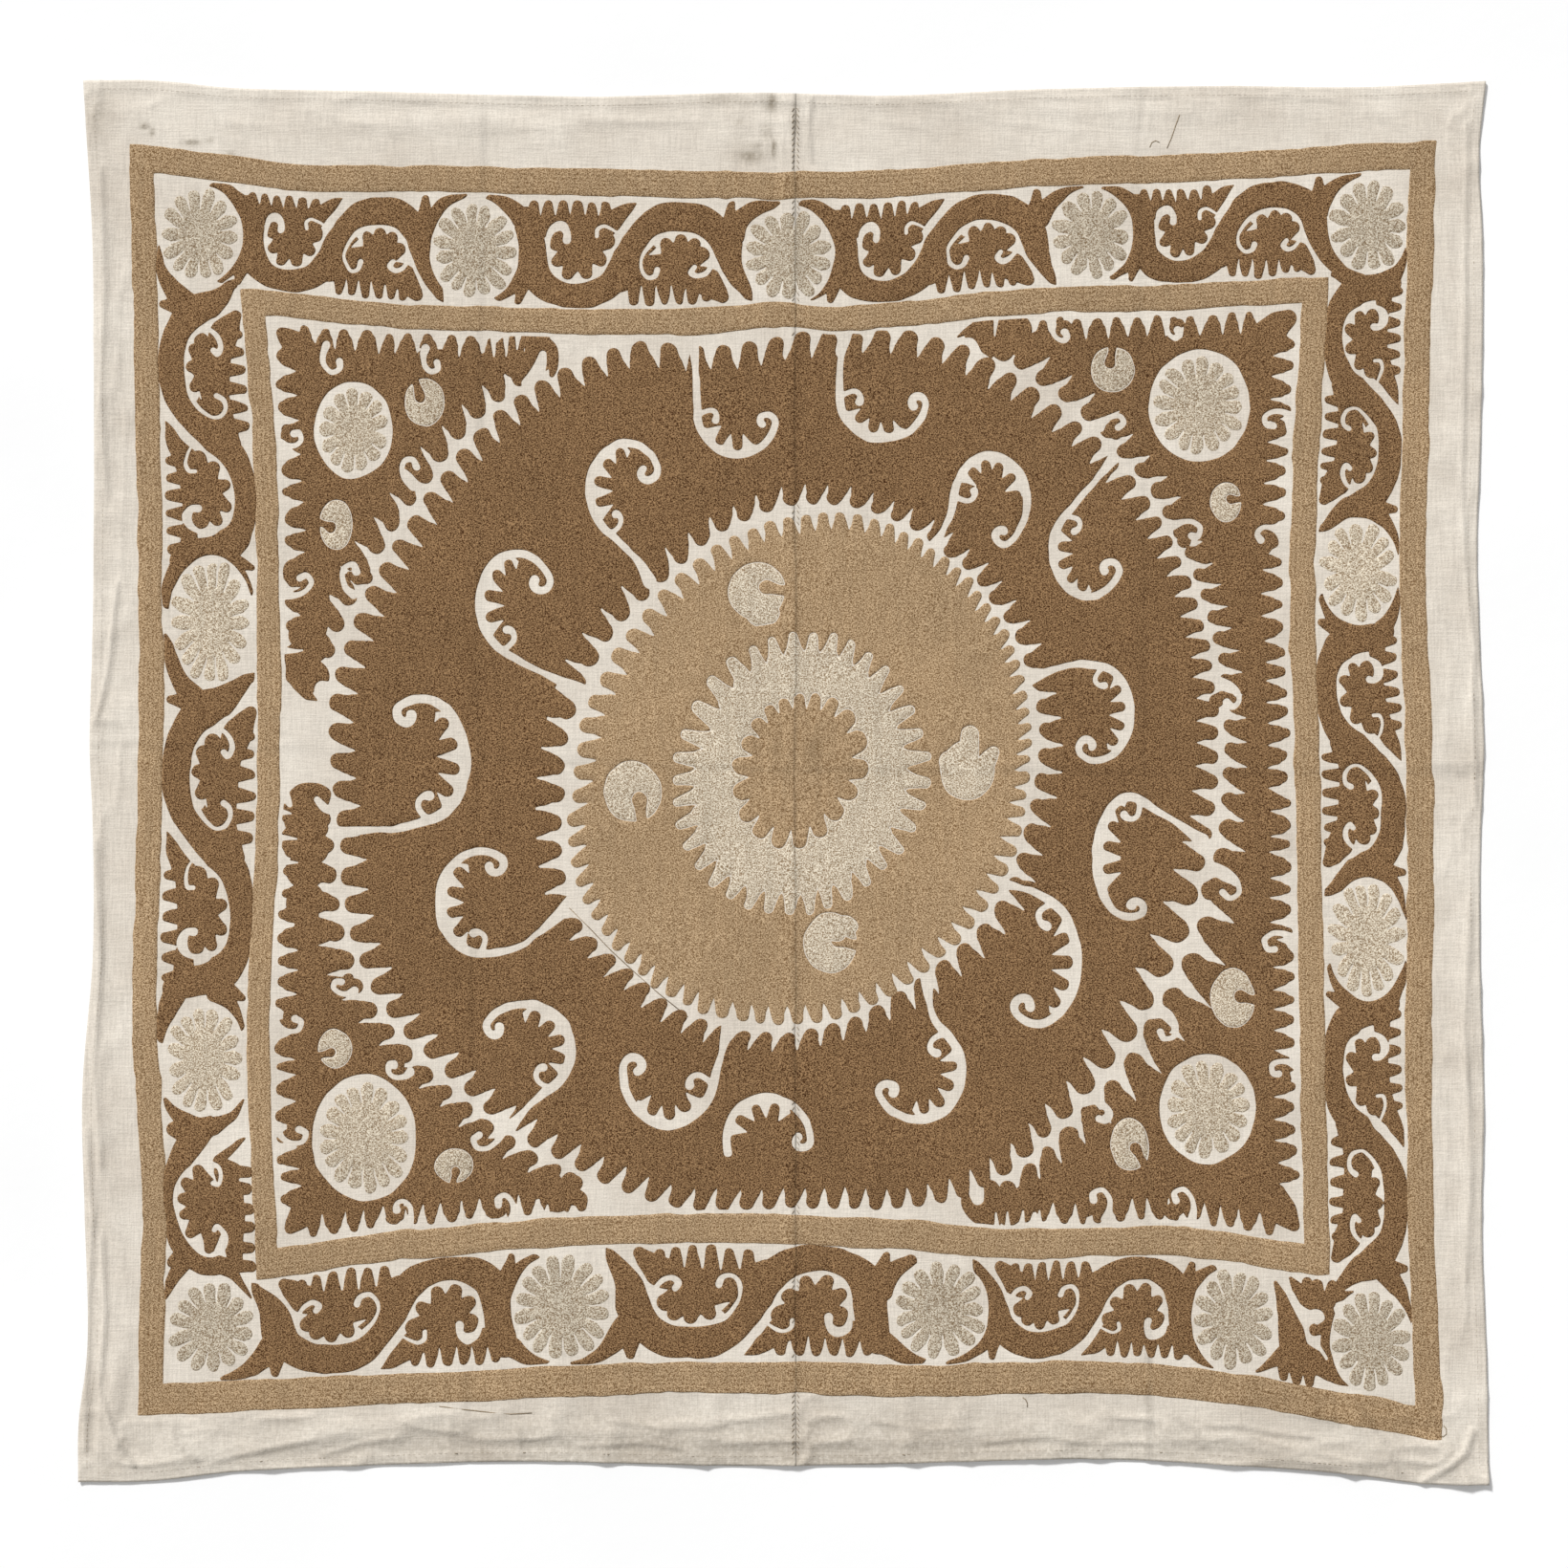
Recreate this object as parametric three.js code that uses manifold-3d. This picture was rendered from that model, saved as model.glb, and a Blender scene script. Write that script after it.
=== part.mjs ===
// Embroidered tablecloth: a square cover of two loom widths sewn together along a centre seam,
// worked nearly all over in raised chain stitch, lying flat with a rippled, hemmed margin.
// Millimetres, +Z up, +Y towards the top of the design, origin under the middle of the cloth.

import * as THREE from 'three';
import { mergeVertices } from 'three/addons/utils/BufferGeometryUtils.js';
import Module from 'manifold-3d';

const wasm = await Module();
wasm.setup();

// Ground cloth
const CLOTH_LENGTH = 1468;
const GROUND_THICKNESS = 1.2;
const HEM_WIDTH = 11;
const HEM_RISE = 0.7;
const MARGIN_WIDTH = 44;
const FOLD_FADE = 16;
const SEAM_X = 12.5;
const SEAM_GAP = 0.3;
const SEAM_ALLOWANCE = 15;
const SEAM_RISE = 0.5;
const LINEN_COLOUR = '#ded6c8';

// Embroidery, raised above the ground cloth
const YARN_RISE = 1.0;
const YARN_ROOT = 0.6;
const SCROLL_GAP = 7;
const SCROLL_PITCH = 36;
const SCROLL_DEPTH = 11;
const SPANDREL_GAP = 7;
const SPANDREL_PITCH = 27;
const SPANDREL_DEPTH = 10;
const PETALS = 10;
const PETAL_DEPTH = 6;
const HALO_WIDTH = 8;
const GROOVE_WIDTH = 12;
const GROOVE_STEPS = 6;
const BAND_CLEARANCE = 4;
const CUTTER_HEIGHT = 20;

// The sides of the cloth as it lies: reach is the edge's distance from the middle, at each place.
const CLOTH_EDGE = {
  top: [
    { at: -732, reach: 734 }, { at: -660, reach: 734 }, { at: -590, reach: 727 }, { at: -450, reach: 723 },
    { at: -310, reach: 719 }, { at: -205, reach: 717 }, { at: -30, reach: 721 }, { at: 110, reach: 718 },
    { at: 250, reach: 724 }, { at: 460, reach: 728 }, { at: 600, reach: 727 }, { at: 734, reach: 733 },
  ],
  right: [
    { at: -734, reach: 737 }, { at: -606, reach: 735 }, { at: -466, reach: 730 }, { at: -330, reach: 732 },
    { at: -186, reach: 728 }, { at: -46, reach: 729 }, { at: 24, reach: 732 }, { at: 163, reach: 727 },
    { at: 234, reach: 725 }, { at: 374, reach: 729 }, { at: 584, reach: 730 }, { at: 654, reach: 727 },
    { at: 733, reach: 734 },
  ],
  bottom: [
    { at: -737, reach: -731 }, { at: -660, reach: -730 }, { at: -590, reach: -722 },
    { at: -415, reach: -713 }, { at: -310, reach: -710 }, { at: -30, reach: -714 },
    { at: 75, reach: -713 }, { at: 180, reach: -710 }, { at: 320, reach: -707 },
    { at: 460, reach: -713 }, { at: 600, reach: -724 }, { at: 670, reach: -733 }, { at: 737, reach: -734 },
  ],
  left: [
    { at: -731, reach: -737 }, { at: -676, reach: -737 }, { at: -606, reach: -728 },
    { at: -466, reach: -730 }, { at: -326, reach: -733 }, { at: -186, reach: -722 },
    { at: -46, reach: -722 }, { at: 24, reach: -725 }, { at: 163, reach: -722 }, { at: 444, reach: -721 },
    { at: 584, reach: -723 }, { at: 654, reach: -727 }, { at: 734, reach: -732 },
  ],
};

// The middle lines of the two plain bands that frame the design, and each side's width.
const OUTER_BAND = {
  width: { top: 29, right: 28, bottom: 33, left: 26 },
  top: [
    { at: -670, reach: 653 }, { at: -575, reach: 641 }, { at: -514, reach: 633 }, { at: -400, reach: 632 },
    { at: -260, reach: 629 }, { at: 135, reach: 628 }, { at: 214, reach: 634 }, { at: 320, reach: 640 },
    { at: 420, reach: 643 }, { at: 668, reach: 656 },
  ],
  right: [
    { at: -671, reach: 675 }, { at: -400, reach: 665 }, { at: 18, reach: 665 }, { at: 225, reach: 658 },
    { at: 378, reach: 661 }, { at: 656, reach: 668 },
  ],
  bottom: [
    { at: -662, reach: -645 }, { at: -400, reach: -634 }, { at: -290, reach: -629 }, { at: 10, reach: -622 },
    { at: 135, reach: -626 }, { at: 270, reach: -622 }, { at: 360, reach: -623 }, { at: 436, reach: -629 },
    { at: 514, reach: -641 }, { at: 675, reach: -671 },
  ],
  left: [
    { at: -645, reach: -662 }, { at: -400, reach: -659 }, { at: -280, reach: -667 },
    { at: -130, reach: -666 }, { at: -20, reach: -662 }, { at: 378, reach: -665 }, { at: 653, reach: -670 },
  ],
};
const INNER_BAND = {
  width: { top: 27, right: 27, bottom: 31, left: 24 },
  top: [
    { at: -556, reach: 503 }, { at: -400, reach: 488 }, { at: -260, reach: 483 }, { at: -60, reach: 484 },
    { at: -8, reach: 489 }, { at: 30, reach: 485 }, { at: 108, reach: 488 }, { at: 214, reach: 500 },
    { at: 420, reach: 508 }, { at: 557, reach: 516 },
  ],
  right: [
    { at: -500, reach: 558 }, { at: -206, reach: 552 }, { at: -22, reach: 549 }, { at: 225, reach: 542 },
    { at: 378, reach: 548 }, { at: 516, reach: 557 },
  ],
  bottom: [
    { at: -540, reach: -504 }, { at: -400, reach: -484 }, { at: -290, reach: -474 }, { at: 10, reach: -467 },
    { at: 110, reach: -472 }, { at: 240, reach: -482 }, { at: 420, reach: -480 }, { at: 558, reach: -500 },
  ],
  left: [
    { at: -504, reach: -540 }, { at: -400, reach: -545 }, { at: -256, reach: -549 }, { at: -20, reach: -538 },
    { at: 174, reach: -539 }, { at: 378, reach: -544 }, { at: 503, reach: -556 },
  ],
};

// Rings of the medallion, from the rim inwards.
const FIELD_RIM = { x: -9, y: 7, rx: 466, ry: 463, tips: 84, depth: 24 };
const FIELD_EYE = { x: 18, y: 14, rx: 275, ry: 294, tips: 62, depth: -27 };
const SUN_RIM = { x: 18, y: 14, rx: 244, ry: 263, tips: 75, depth: 27 };
const PETAL_RING = { x: 20, y: 7, rx: 134, ry: 143, tips: 43, depth: 9 };
const HEART = { x: 18, y: 12, rx: 69, ry: 79, tips: 24, depth: 9 };
const COLOUR_GROOVE = 2.5;

// Border rosettes: the middle and half-sizes of each rosette's plain halo, corner to corner.
const TOP_ROSETTES = [
  { x: -610, y: 572, rx: 44, ry: 52 }, { x: -323, y: 556, rx: 47, ry: 55 }, { x: 5, y: 551, rx: 49, ry: 52 },
  { x: 322, y: 573, rx: 43, ry: 50 }, { x: 612, y: 582, rx: 43, ry: 52 },
];
const BOTTOM_ROSETTES = [
  { x: -598, y: -570, rx: 49, ry: 51 }, { x: -232, y: -549, rx: 53, ry: 58 },
  { x: 163, y: -551, rx: 52, ry: 53 }, { x: 471, y: -561, rx: 45, ry: 56 },
  { x: 615, y: -584, rx: 43, ry: 56 },
];
const LEFT_ROSETTES = [{ x: -606, y: -289, rx: 44, ry: 60 }, { x: -598, y: 168, rx: 44, ry: 69 }];
const RIGHT_ROSETTES = [{ x: 610, y: -163, rx: 42, ry: 64 }, { x: 601, y: 221, rx: 43, ry: 56 }];

// Corner fields inside the inner band: the sides each one runs along, from place to place, the two
// tips that it ends in, and the turn of its long edge about the medallion, in degrees from +X.
const SPANDRELS = [
  {
    runs: [{ side: 'left', from: 110, to: 455 }, { side: 'top', from: -510, to: -265 }],
    tips: { first: { x: -492, y: 84 }, last: { x: -236, y: 436 } },
    facing: { from: 123, to: 167 },
  },
  {
    runs: [{ side: 'bottom', from: -262, to: -495 }, { side: 'left', from: -460, to: -30 }],
    tips: { first: { x: -204, y: -446 }, last: { x: -496, y: -2 } },
    facing: { from: 185, to: 239 },
  },
  {
    runs: [
      { side: 'top', from: 215, to: 510 }, { side: 'right', from: 468, to: -452 },
      { side: 'bottom', from: 508, to: 235 },
    ],
    tips: { first: { x: 181, y: 466 }, last: { x: 195, y: -446 } },
    facing: { from: -61, to: 63 },
  },
];
const SPANDREL_ROSETTES = [
  { x: -449, y: 369, rx: 42, ry: 51 }, { x: 435, y: 394, rx: 53, ry: 58 },
  { x: -438, y: -371, rx: 54, ry: 66 }, { x: 444, y: -341, rx: 50, ry: 57 },
];
const SPANDREL_FACING = { x: -9, y: 7, rx: 490, ry: 490 };

// Curled lines of bare cloth left in the dark field: an arc each, in degrees from +X.
const CURLS = [
  { x: -50, y: 388, rx: 45, ry: 48, start: 150, sweep: 215 },
  { x: 105, y: 398, rx: 38, ry: 41, start: 150, sweep: 215 },
  { x: -165, y: 314, rx: 40, ry: 45, start: 30, sweep: 215 },
  { x: -277, y: 178, rx: 45, ry: 66, start: 45, sweep: 200 },
  { x: -380, y: 28, rx: 51, ry: 64, start: 125, sweep: -215 },
  { x: -320, y: -122, rx: 43, ry: 60, start: 100, sweep: 215 },
  { x: -260, y: -292, rx: 41, ry: 65, start: 190, sweep: -215 },
  { x: -120, y: -306, rx: 53, ry: 54, start: 140, sweep: 215 },
  { x: -16, y: -374, rx: 47, ry: 48, start: 200, sweep: -215 },
  { x: 146, y: -296, rx: 44, ry: 60, start: 80, sweep: -215 },
  { x: 266, y: -186, rx: 46, ry: 70, start: 80, sweep: -215 },
  { x: 366, y: -72, rx: 43, ry: 66, start: 55, sweep: 215 },
  { x: 330, y: 68, rx: 36, ry: 53, start: 130, sweep: -215 },
  { x: 320, y: 244, rx: 43, ry: 54, start: 110, sweep: 215 },
  { x: 216, y: 298, rx: 42, ry: 47, start: 130, sweep: -215 },
];

// Ripples and pressed folds of the bare margin: a ridge each, along its heading in degrees.
const FOLDS = [
  { x: -708, y: 470, heading: 91, length: 420, width: 10, rise: 3.0 },
  { x: -700, y: 60, heading: 88, length: 300, width: 9, rise: 2.4 },
  { x: -712, y: -330, heading: 93, length: 320, width: 11, rise: 3.6 },
  { x: -700, y: -640, heading: 80, length: 130, width: 10, rise: 2.6 },
  { x: -520, y: -690, heading: 8, length: 260, width: 11, rise: 3.4 },
  { x: -180, y: -680, heading: -2, length: 330, width: 10, rise: 2.6 },
  { x: 170, y: -684, heading: 3, length: 280, width: 10, rise: 2.4 },
  { x: 384, y: -690, heading: 88, length: 60, width: 7, rise: 1.8 },
  { x: 520, y: -700, heading: -10, length: 210, width: 12, rise: 3.0 },
  { x: 690, y: -708, heading: -52, length: 110, width: 13, rise: 4.4 },
  { x: 716, y: 300, heading: 90, length: 620, width: 8, rise: 2.2 },
  { x: 714, y: -350, heading: 91, length: 380, width: 9, rise: 2.0 },
  { x: 706, y: 12, heading: 2, length: 70, width: 7, rise: 1.6 },
  { x: -704, y: 42, heading: -4, length: 70, width: 8, rise: 1.8 },
  { x: -330, y: 690, heading: 1, length: 360, width: 10, rise: 2.2 },
  { x: 330, y: 704, heading: -1, length: 420, width: 10, rise: 2.0 },
];

// Places of the panel's grid lines, measured in from an edge.
const HEM_STEP = 1.5;
const EDGE_LINES = [0, HEM_WIDTH, HEM_WIDTH + HEM_STEP, 18, 24, 30, 36, MARGIN_WIDTH];
const ACROSS_LINES = 3;
const ALONG_LINES = 18;
const WELD = 1e-4;

const plan = (x, y) => new THREE.Vector2(x, y);

// Gives the reach of a side anywhere along it, on a smooth curve through its rows.
function sideCurve(rows) {
  const places = rows.map((row) => row.at);
  const reaches = rows.map((row) => row.reach);
  const curve = new THREE.CubicInterpolant(places, reaches, 1);
  return (at) => curve.evaluate(at)[0];
}

const SIDE_NAMES = ['top', 'right', 'bottom', 'left'];
const OUTWARD = { top: 1, right: 1, bottom: -1, left: -1 };

// The four sides of a band as curves, moved by a share of the band's width: 0.5 is its outer edge.
function bandSides(band, share) {
  const sides = {};
  for (const name of SIDE_NAMES) {
    const middle = sideCurve(band[name]);
    const shift = OUTWARD[name] * share * band.width[name];
    sides[name] = (at) => middle(at) + shift;
  }
  return sides;
}

const clothSides = {};
for (const name of SIDE_NAMES) clothSides[name] = sideCurve(CLOTH_EDGE[name]);
const outerBandInside = bandSides(OUTER_BAND, -0.5);
const innerBandOutside = bandSides(INNER_BAND, 0.5);
const innerBandInside = bandSides(INNER_BAND, -0.5);

// A closed loop round a band, mitred at its corners.
function bandLoop(band, share) {
  const loop = [];
  const shift = (name) => OUTWARD[name] * share * band.width[name];
  const { top, right, bottom, left } = band;
  for (const row of top) loop.push(plan(row.at, row.reach + shift('top')));
  for (const row of right.slice(1, -1).reverse()) loop.push(plan(row.reach + shift('right'), row.at));
  for (const row of [...bottom].reverse()) loop.push(plan(row.at, row.reach + shift('bottom')));
  for (const row of left.slice(1, -1)) loop.push(plan(row.reach + shift('left'), row.at));
  const rightTop = top.length - 1;
  const rightBottom = rightTop + right.length - 1;
  const leftBottom = rightBottom + bottom.length - 1;
  for (const corner of [0, leftBottom]) loop[corner].x += shift('left');
  for (const corner of [rightTop, rightBottom]) loop[corner].x += shift('right');
  return loop;
}

// Leaf tips round an ellipse, with a notch before each tip: they point in if the depth is negative.
function tippedRound(ring, growth = 0) {
  const loop = [];
  const notch = growth - Math.max(ring.depth, 0);
  for (let half = 0; half < 2 * ring.tips; half++) {
    const angle = (half / ring.tips) * Math.PI;
    const shift = half % 2 ? notch + ring.depth : notch;
    loop.push(plan(
      ring.x + (ring.rx + shift) * Math.cos(angle),
      ring.y + (ring.ry + shift) * Math.sin(angle),
    ));
  }
  return loop;
}

// Keeps a loop clear of the inner band, which flattens the medallion's top and bottom.
function heldInsideBand(loop) {
  for (const point of loop) {
    const highest = innerBandInside.top(point.x) - BAND_CLEARANCE;
    const lowest = innerBandInside.bottom(point.x) + BAND_CLEARANCE;
    point.y = THREE.MathUtils.clamp(point.y, lowest, highest);
  }
  return loop;
}

// A raised form of yarn with the given outline, rooted in the ground cloth.
function plate(outline, holes = []) {
  if (THREE.ShapeUtils.isClockWise(outline)) outline.reverse();
  const shape = new THREE.Shape(outline);
  for (const hole of holes) shape.holes.push(new THREE.Path(hole));
  const depth = YARN_ROOT + YARN_RISE;
  const geometry = new THREE.ExtrudeGeometry(shape, { depth, bevelEnabled: false });
  return geometry.translate(0, 0, GROUND_THICKNESS - YARN_ROOT);
}

// The bare halo round a rosette, as a cutter that passes right through the yarn.
function halo({ x, y, rx, ry }) {
  const cutter = new THREE.CylinderGeometry(1, 1, 1, 2 * PETALS);
  return cutter.rotateX(Math.PI / 2).scale(rx, ry, CUTTER_HEIGHT).translate(x, y, 0);
}

function rosette({ x, y, rx, ry }) {
  const petals = { x, y, rx: rx - HALO_WIDTH, ry: ry - HALO_WIDTH, tips: PETALS, depth: PETAL_DEPTH };
  return plate(tippedRound(petals));
}

// A crescent that tapers to a point at both ends of an elliptical arc.
function crescent({ x, y, rx, ry, start, sweep }) {
  const along = (step, inset) => {
    const angle = THREE.MathUtils.degToRad(start + (sweep * step) / GROOVE_STEPS);
    return plan(x + (rx - inset) * Math.cos(angle), y + (ry - inset) * Math.sin(angle));
  };
  const outline = [];
  for (let step = 0; step <= GROOVE_STEPS; step++) outline.push(along(step, 0));
  for (let step = GROOVE_STEPS - 1; step > 0; step--) {
    outline.push(along(step, GROOVE_WIDTH * Math.sin((Math.PI * step) / GROOVE_STEPS)));
  }
  return outline;
}

// Scallops along a side from place to place, standing off the side's curve by the gap.
function scallops(curve, from, to, { pitch, depth, towards }) {
  const count = Math.max(2, Math.round(Math.abs(to - from) / pitch));
  const points = [];
  for (let half = 0; half <= 2 * count; half++) {
    const at = THREE.MathUtils.lerp(from, to, half / (2 * count));
    const inset = half % 2 ? 0 : depth;
    points.push({ at, reach: curve(at) - towards * inset });
  }
  return points;
}

// A leafy scroll from one rosette's middle to the next, before the halos are cut out of its ends.
function borderScroll(first, second, outer, inner, upright) {
  const towards = Math.sign(upright ? first.x : first.y);
  const [from, to] = upright ? [first.y, second.y] : [first.x, second.x];
  const edge = { pitch: SCROLL_PITCH, depth: SCROLL_DEPTH };
  const outerCurve = (at) => outer(at) - towards * SCROLL_GAP;
  const innerCurve = (at) => inner(at) + towards * SCROLL_GAP;
  const outline = [
    ...scallops(outerCurve, from + SCROLL_GAP, to - SCROLL_GAP, { ...edge, towards }),
    ...scallops(innerCurve, to - SCROLL_GAP, from + SCROLL_GAP, { ...edge, towards: -towards }),
  ];
  return plate(outline.map(({ at, reach }) => (upright ? plan(reach, at) : plan(at, reach))));
}

// The scrolls of one side, between each rosette and the next along it.
function scrollRow(rosettes, name) {
  const upright = name === 'left' || name === 'right';
  const pairs = rosettes.slice(1).map((halo, index) => [rosettes[index], halo]);
  return pairs.map(([first, second]) => (
    borderScroll(first, second, outerBandInside[name], innerBandOutside[name], upright)
  ));
}

// A corner field: scalloped along the inner band's sides and along the medallion.
function spandrel({ runs, tips, facing }) {
  const outline = [plan(tips.first.x, tips.first.y)];
  runs.forEach(({ side, from, to }, count) => {
    const upright = side === 'left' || side === 'right';
    const towards = OUTWARD[side];
    const curve = (at) => innerBandInside[side](at) - towards * SPANDREL_GAP;
    const edge = { pitch: SPANDREL_PITCH, depth: SPANDREL_DEPTH, towards };
    if (count > 0) {
      const before = runs[count - 1];
      const cornerBefore = innerBandInside[before.side](before.to) - OUTWARD[before.side] * SPANDREL_GAP;
      outline.push(upright ? plan(curve(from), cornerBefore) : plan(cornerBefore, curve(from)));
    }
    for (const { at, reach } of scallops(curve, from, to, edge)) {
      outline.push(upright ? plan(reach, at) : plan(at, reach));
    }
  });
  outline.push(plan(tips.last.x, tips.last.y));
  const turns = [facing.from, facing.to].map(THREE.MathUtils.degToRad);
  const arc = Math.abs(turns[1] - turns[0]) * SPANDREL_FACING.rx;
  const points = 2 * Math.round(arc / SPANDREL_PITCH);
  for (let point = 0; point <= points; point++) {
    const angle = THREE.MathUtils.lerp(turns[0], turns[1], point / points);
    const inset = point % 2 ? 0 : SPANDREL_DEPTH;
    outline.push(plan(
      SPANDREL_FACING.x + (SPANDREL_FACING.rx + inset) * Math.cos(angle),
      SPANDREL_FACING.y + (SPANDREL_FACING.ry + inset) * Math.sin(angle),
    ));
  }
  return plate(outline);
}

const [topLeft, , , , topRight] = TOP_ROSETTES;
const [bottomLeft, , , , bottomRight] = BOTTOM_ROSETTES;
const leftRow = [bottomLeft, ...LEFT_ROSETTES, topLeft];
const rightRow = [bottomRight, ...RIGHT_ROSETTES, topRight];
const rosettes = [
  ...TOP_ROSETTES, ...BOTTOM_ROSETTES, ...LEFT_ROSETTES, ...RIGHT_ROSETTES, ...SPANDREL_ROSETTES,
];
const leafwork = [
  ...scrollRow(TOP_ROSETTES, 'top'),
  ...scrollRow(BOTTOM_ROSETTES, 'bottom'),
  ...scrollRow(leftRow, 'left'),
  ...scrollRow(rightRow, 'right'),
  ...SPANDRELS.map(spandrel),
];
const rings = [
  plate(bandLoop(OUTER_BAND, 0.5), [bandLoop(OUTER_BAND, -0.5)]),
  plate(bandLoop(INNER_BAND, 0.5), [bandLoop(INNER_BAND, -0.5)]),
  plate(heldInsideBand(tippedRound(FIELD_RIM)), [tippedRound(FIELD_EYE), ...CURLS.map(crescent)]),
  plate(tippedRound(SUN_RIM), [tippedRound(PETAL_RING, COLOUR_GROOVE)]),
  plate(tippedRound(PETAL_RING), [tippedRound(HEART, COLOUR_GROOVE)]),
  plate(tippedRound(HEART)),
];

// Height of the cloth's underside: flat under the embroidery, rippled in the bare margin.
function lift(x, y, fromEdge) {
  const bare = 1 - THREE.MathUtils.smoothstep(fromEdge, MARGIN_WIDTH - FOLD_FADE, MARGIN_WIDTH);
  let height = 0;
  for (const fold of FOLDS) {
    const heading = THREE.MathUtils.degToRad(fold.heading);
    const along = (x - fold.x) * Math.cos(heading) + (y - fold.y) * Math.sin(heading);
    const across = (y - fold.y) * Math.cos(heading) - (x - fold.x) * Math.sin(heading);
    const spread = ((2 * along) / fold.length) ** 2 + (across / fold.width) ** 2;
    height += fold.rise * Math.exp(-spread);
  }
  return height * bare;
}

// Grid places across a panel or along it, as shares of the whole: close together in the margins.
function gridShares(size, innerLines, closing) {
  const shares = EDGE_LINES.map((line) => line / size);
  const last = closing[0] / size;
  const first = shares[shares.length - 1];
  for (let line = 1; line <= innerLines; line++) {
    shares.push(THREE.MathUtils.lerp(first, last, line / (innerLines + 1)));
  }
  return [...shares, ...closing.map((line) => line / size)];
}

// A closed sheet from a grid of top points followed by the same grid of underside points.
function closedSheet(positions, rows, columns, mirrored) {
  const under = rows * columns;
  const index = [];
  const quad = (a, b, c, d) => (mirrored ? index.push(a, c, b, a, d, c) : index.push(a, b, c, a, c, d));
  for (let row = 0; row < rows - 1; row++) {
    for (let column = 0; column < columns - 1; column++) {
      const corner = row * columns + column;
      const above = corner + columns;
      quad(corner, corner + 1, above + 1, above);
      quad(under + corner, under + above, under + above + 1, under + corner + 1);
    }
  }
  const rim = [];
  for (let column = 0; column < columns - 1; column++) rim.push(column);
  for (let row = 0; row < rows - 1; row++) rim.push(row * columns + columns - 1);
  for (let column = columns - 1; column > 0; column--) rim.push((rows - 1) * columns + column);
  for (let row = rows - 1; row > 0; row--) rim.push(row * columns);
  rim.forEach((here, place) => {
    const next = rim[(place + 1) % rim.length];
    quad(here, under + here, under + next, next);
  });
  const geometry = new THREE.BufferGeometry();
  geometry.setAttribute('position', new THREE.Float32BufferAttribute(positions, 3));
  geometry.setIndex(index);
  return geometry;
}

// One loom width of the ground cloth: a thin closed sheet from its outer edge to the seam.
function groundPanel(edgeName) {
  const side = OUTWARD[edgeName];
  const seam = SEAM_X + (side * SEAM_GAP) / 2;
  const width = Math.abs(clothSides[edgeName](0) - seam);
  const seamLines = side > 0 ? [width - SEAM_ALLOWANCE - HEM_STEP, width - SEAM_ALLOWANCE, width] : [width];
  const mirrored = EDGE_LINES.map((line) => CLOTH_LENGTH - line).reverse();
  const across = gridShares(width, ACROSS_LINES, seamLines);
  const along = gridShares(CLOTH_LENGTH, ALONG_LINES, mirrored);
  const columns = across.length;
  const positions = [];
  for (const upper of [true, false]) {
    for (const t of along) {
      const edge = clothSides[edgeName]((t - 0.5) * CLOTH_LENGTH);
      for (const s of across) {
        const x = THREE.MathUtils.lerp(edge, seam, s);
        const y = THREE.MathUtils.lerp(clothSides.bottom(x), clothSides.top(x), t);
        const fromEnd = Math.min(t, 1 - t) * CLOTH_LENGTH;
        const fromEdge = Math.min(s * width, fromEnd);
        const hem = fromEdge < HEM_WIDTH + WELD ? HEM_RISE : 0;
        const allowance = side > 0 && s * width > width - SEAM_ALLOWANCE - WELD ? SEAM_RISE : 0;
        const thickness = GROUND_THICKNESS + Math.max(hem, allowance);
        positions.push(x, y, lift(x, y, fromEdge) + (upper ? thickness : 0));
      }
    }
  }
  return closedSheet(positions, along.length, columns, side > 0);
}

function toSolid(geometry) {
  geometry.deleteAttribute('normal');
  geometry.deleteAttribute('uv');
  const welded = mergeVertices(geometry, WELD);
  return new wasm.Manifold(new wasm.Mesh({
    numProp: 3,
    vertProperties: new Float32Array(welded.attributes.position.array),
    triVerts: new Uint32Array(welded.index.array),
  }));
}

function toGeometry(solid) {
  const mesh = solid.getMesh();
  const geometry = new THREE.BufferGeometry();
  geometry.setAttribute('position', new THREE.BufferAttribute(mesh.vertProperties, 3));
  geometry.setIndex(new THREE.BufferAttribute(mesh.triVerts, 1));
  geometry.computeVertexNormals();
  return geometry;
}

// The half of the embroidery that lies on one side of the seam.
function seamSide(solid, edgeName) {
  const reach = CLOTH_LENGTH;
  const side = OUTWARD[edgeName];
  const half = new THREE.BoxGeometry(reach, 2 * reach, reach);
  half.translate(SEAM_X + (side * (reach + SEAM_GAP)) / 2, 0, 0);
  return solid.intersect(toSolid(half));
}

const joined = (geometries) => geometries.map(toSolid).reduce((whole, form) => whole.add(form));
const leaves = joined(leafwork).subtract(joined(rosettes.map(halo)));
const embroidery = leaves.add(joined([...rings, ...rosettes.map(rosette)]));

const tablecloth = new THREE.Group();
for (const edgeName of ['left', 'right']) {
  const panel = toSolid(groundPanel(edgeName)).add(seamSide(embroidery, edgeName));
  const linen = new THREE.MeshStandardMaterial({ color: LINEN_COLOUR, roughness: 0.95, metalness: 0 });
  const mesh = new THREE.Mesh(toGeometry(panel), linen);
  mesh.name = `panel_${edgeName}`;
  tablecloth.add(mesh);
}

export default tablecloth;
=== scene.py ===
# Looks of the embroidered tablecloth: two linen panels with a sewn seam, chain-stitch embroidery in three
# yarns as raised shells on them, seam and hem stitches, a pale floor, soft light and the camera.
import bpy
import numpy as np
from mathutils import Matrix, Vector
from mathutils.geometry import delaunay_2d_cdt


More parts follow.
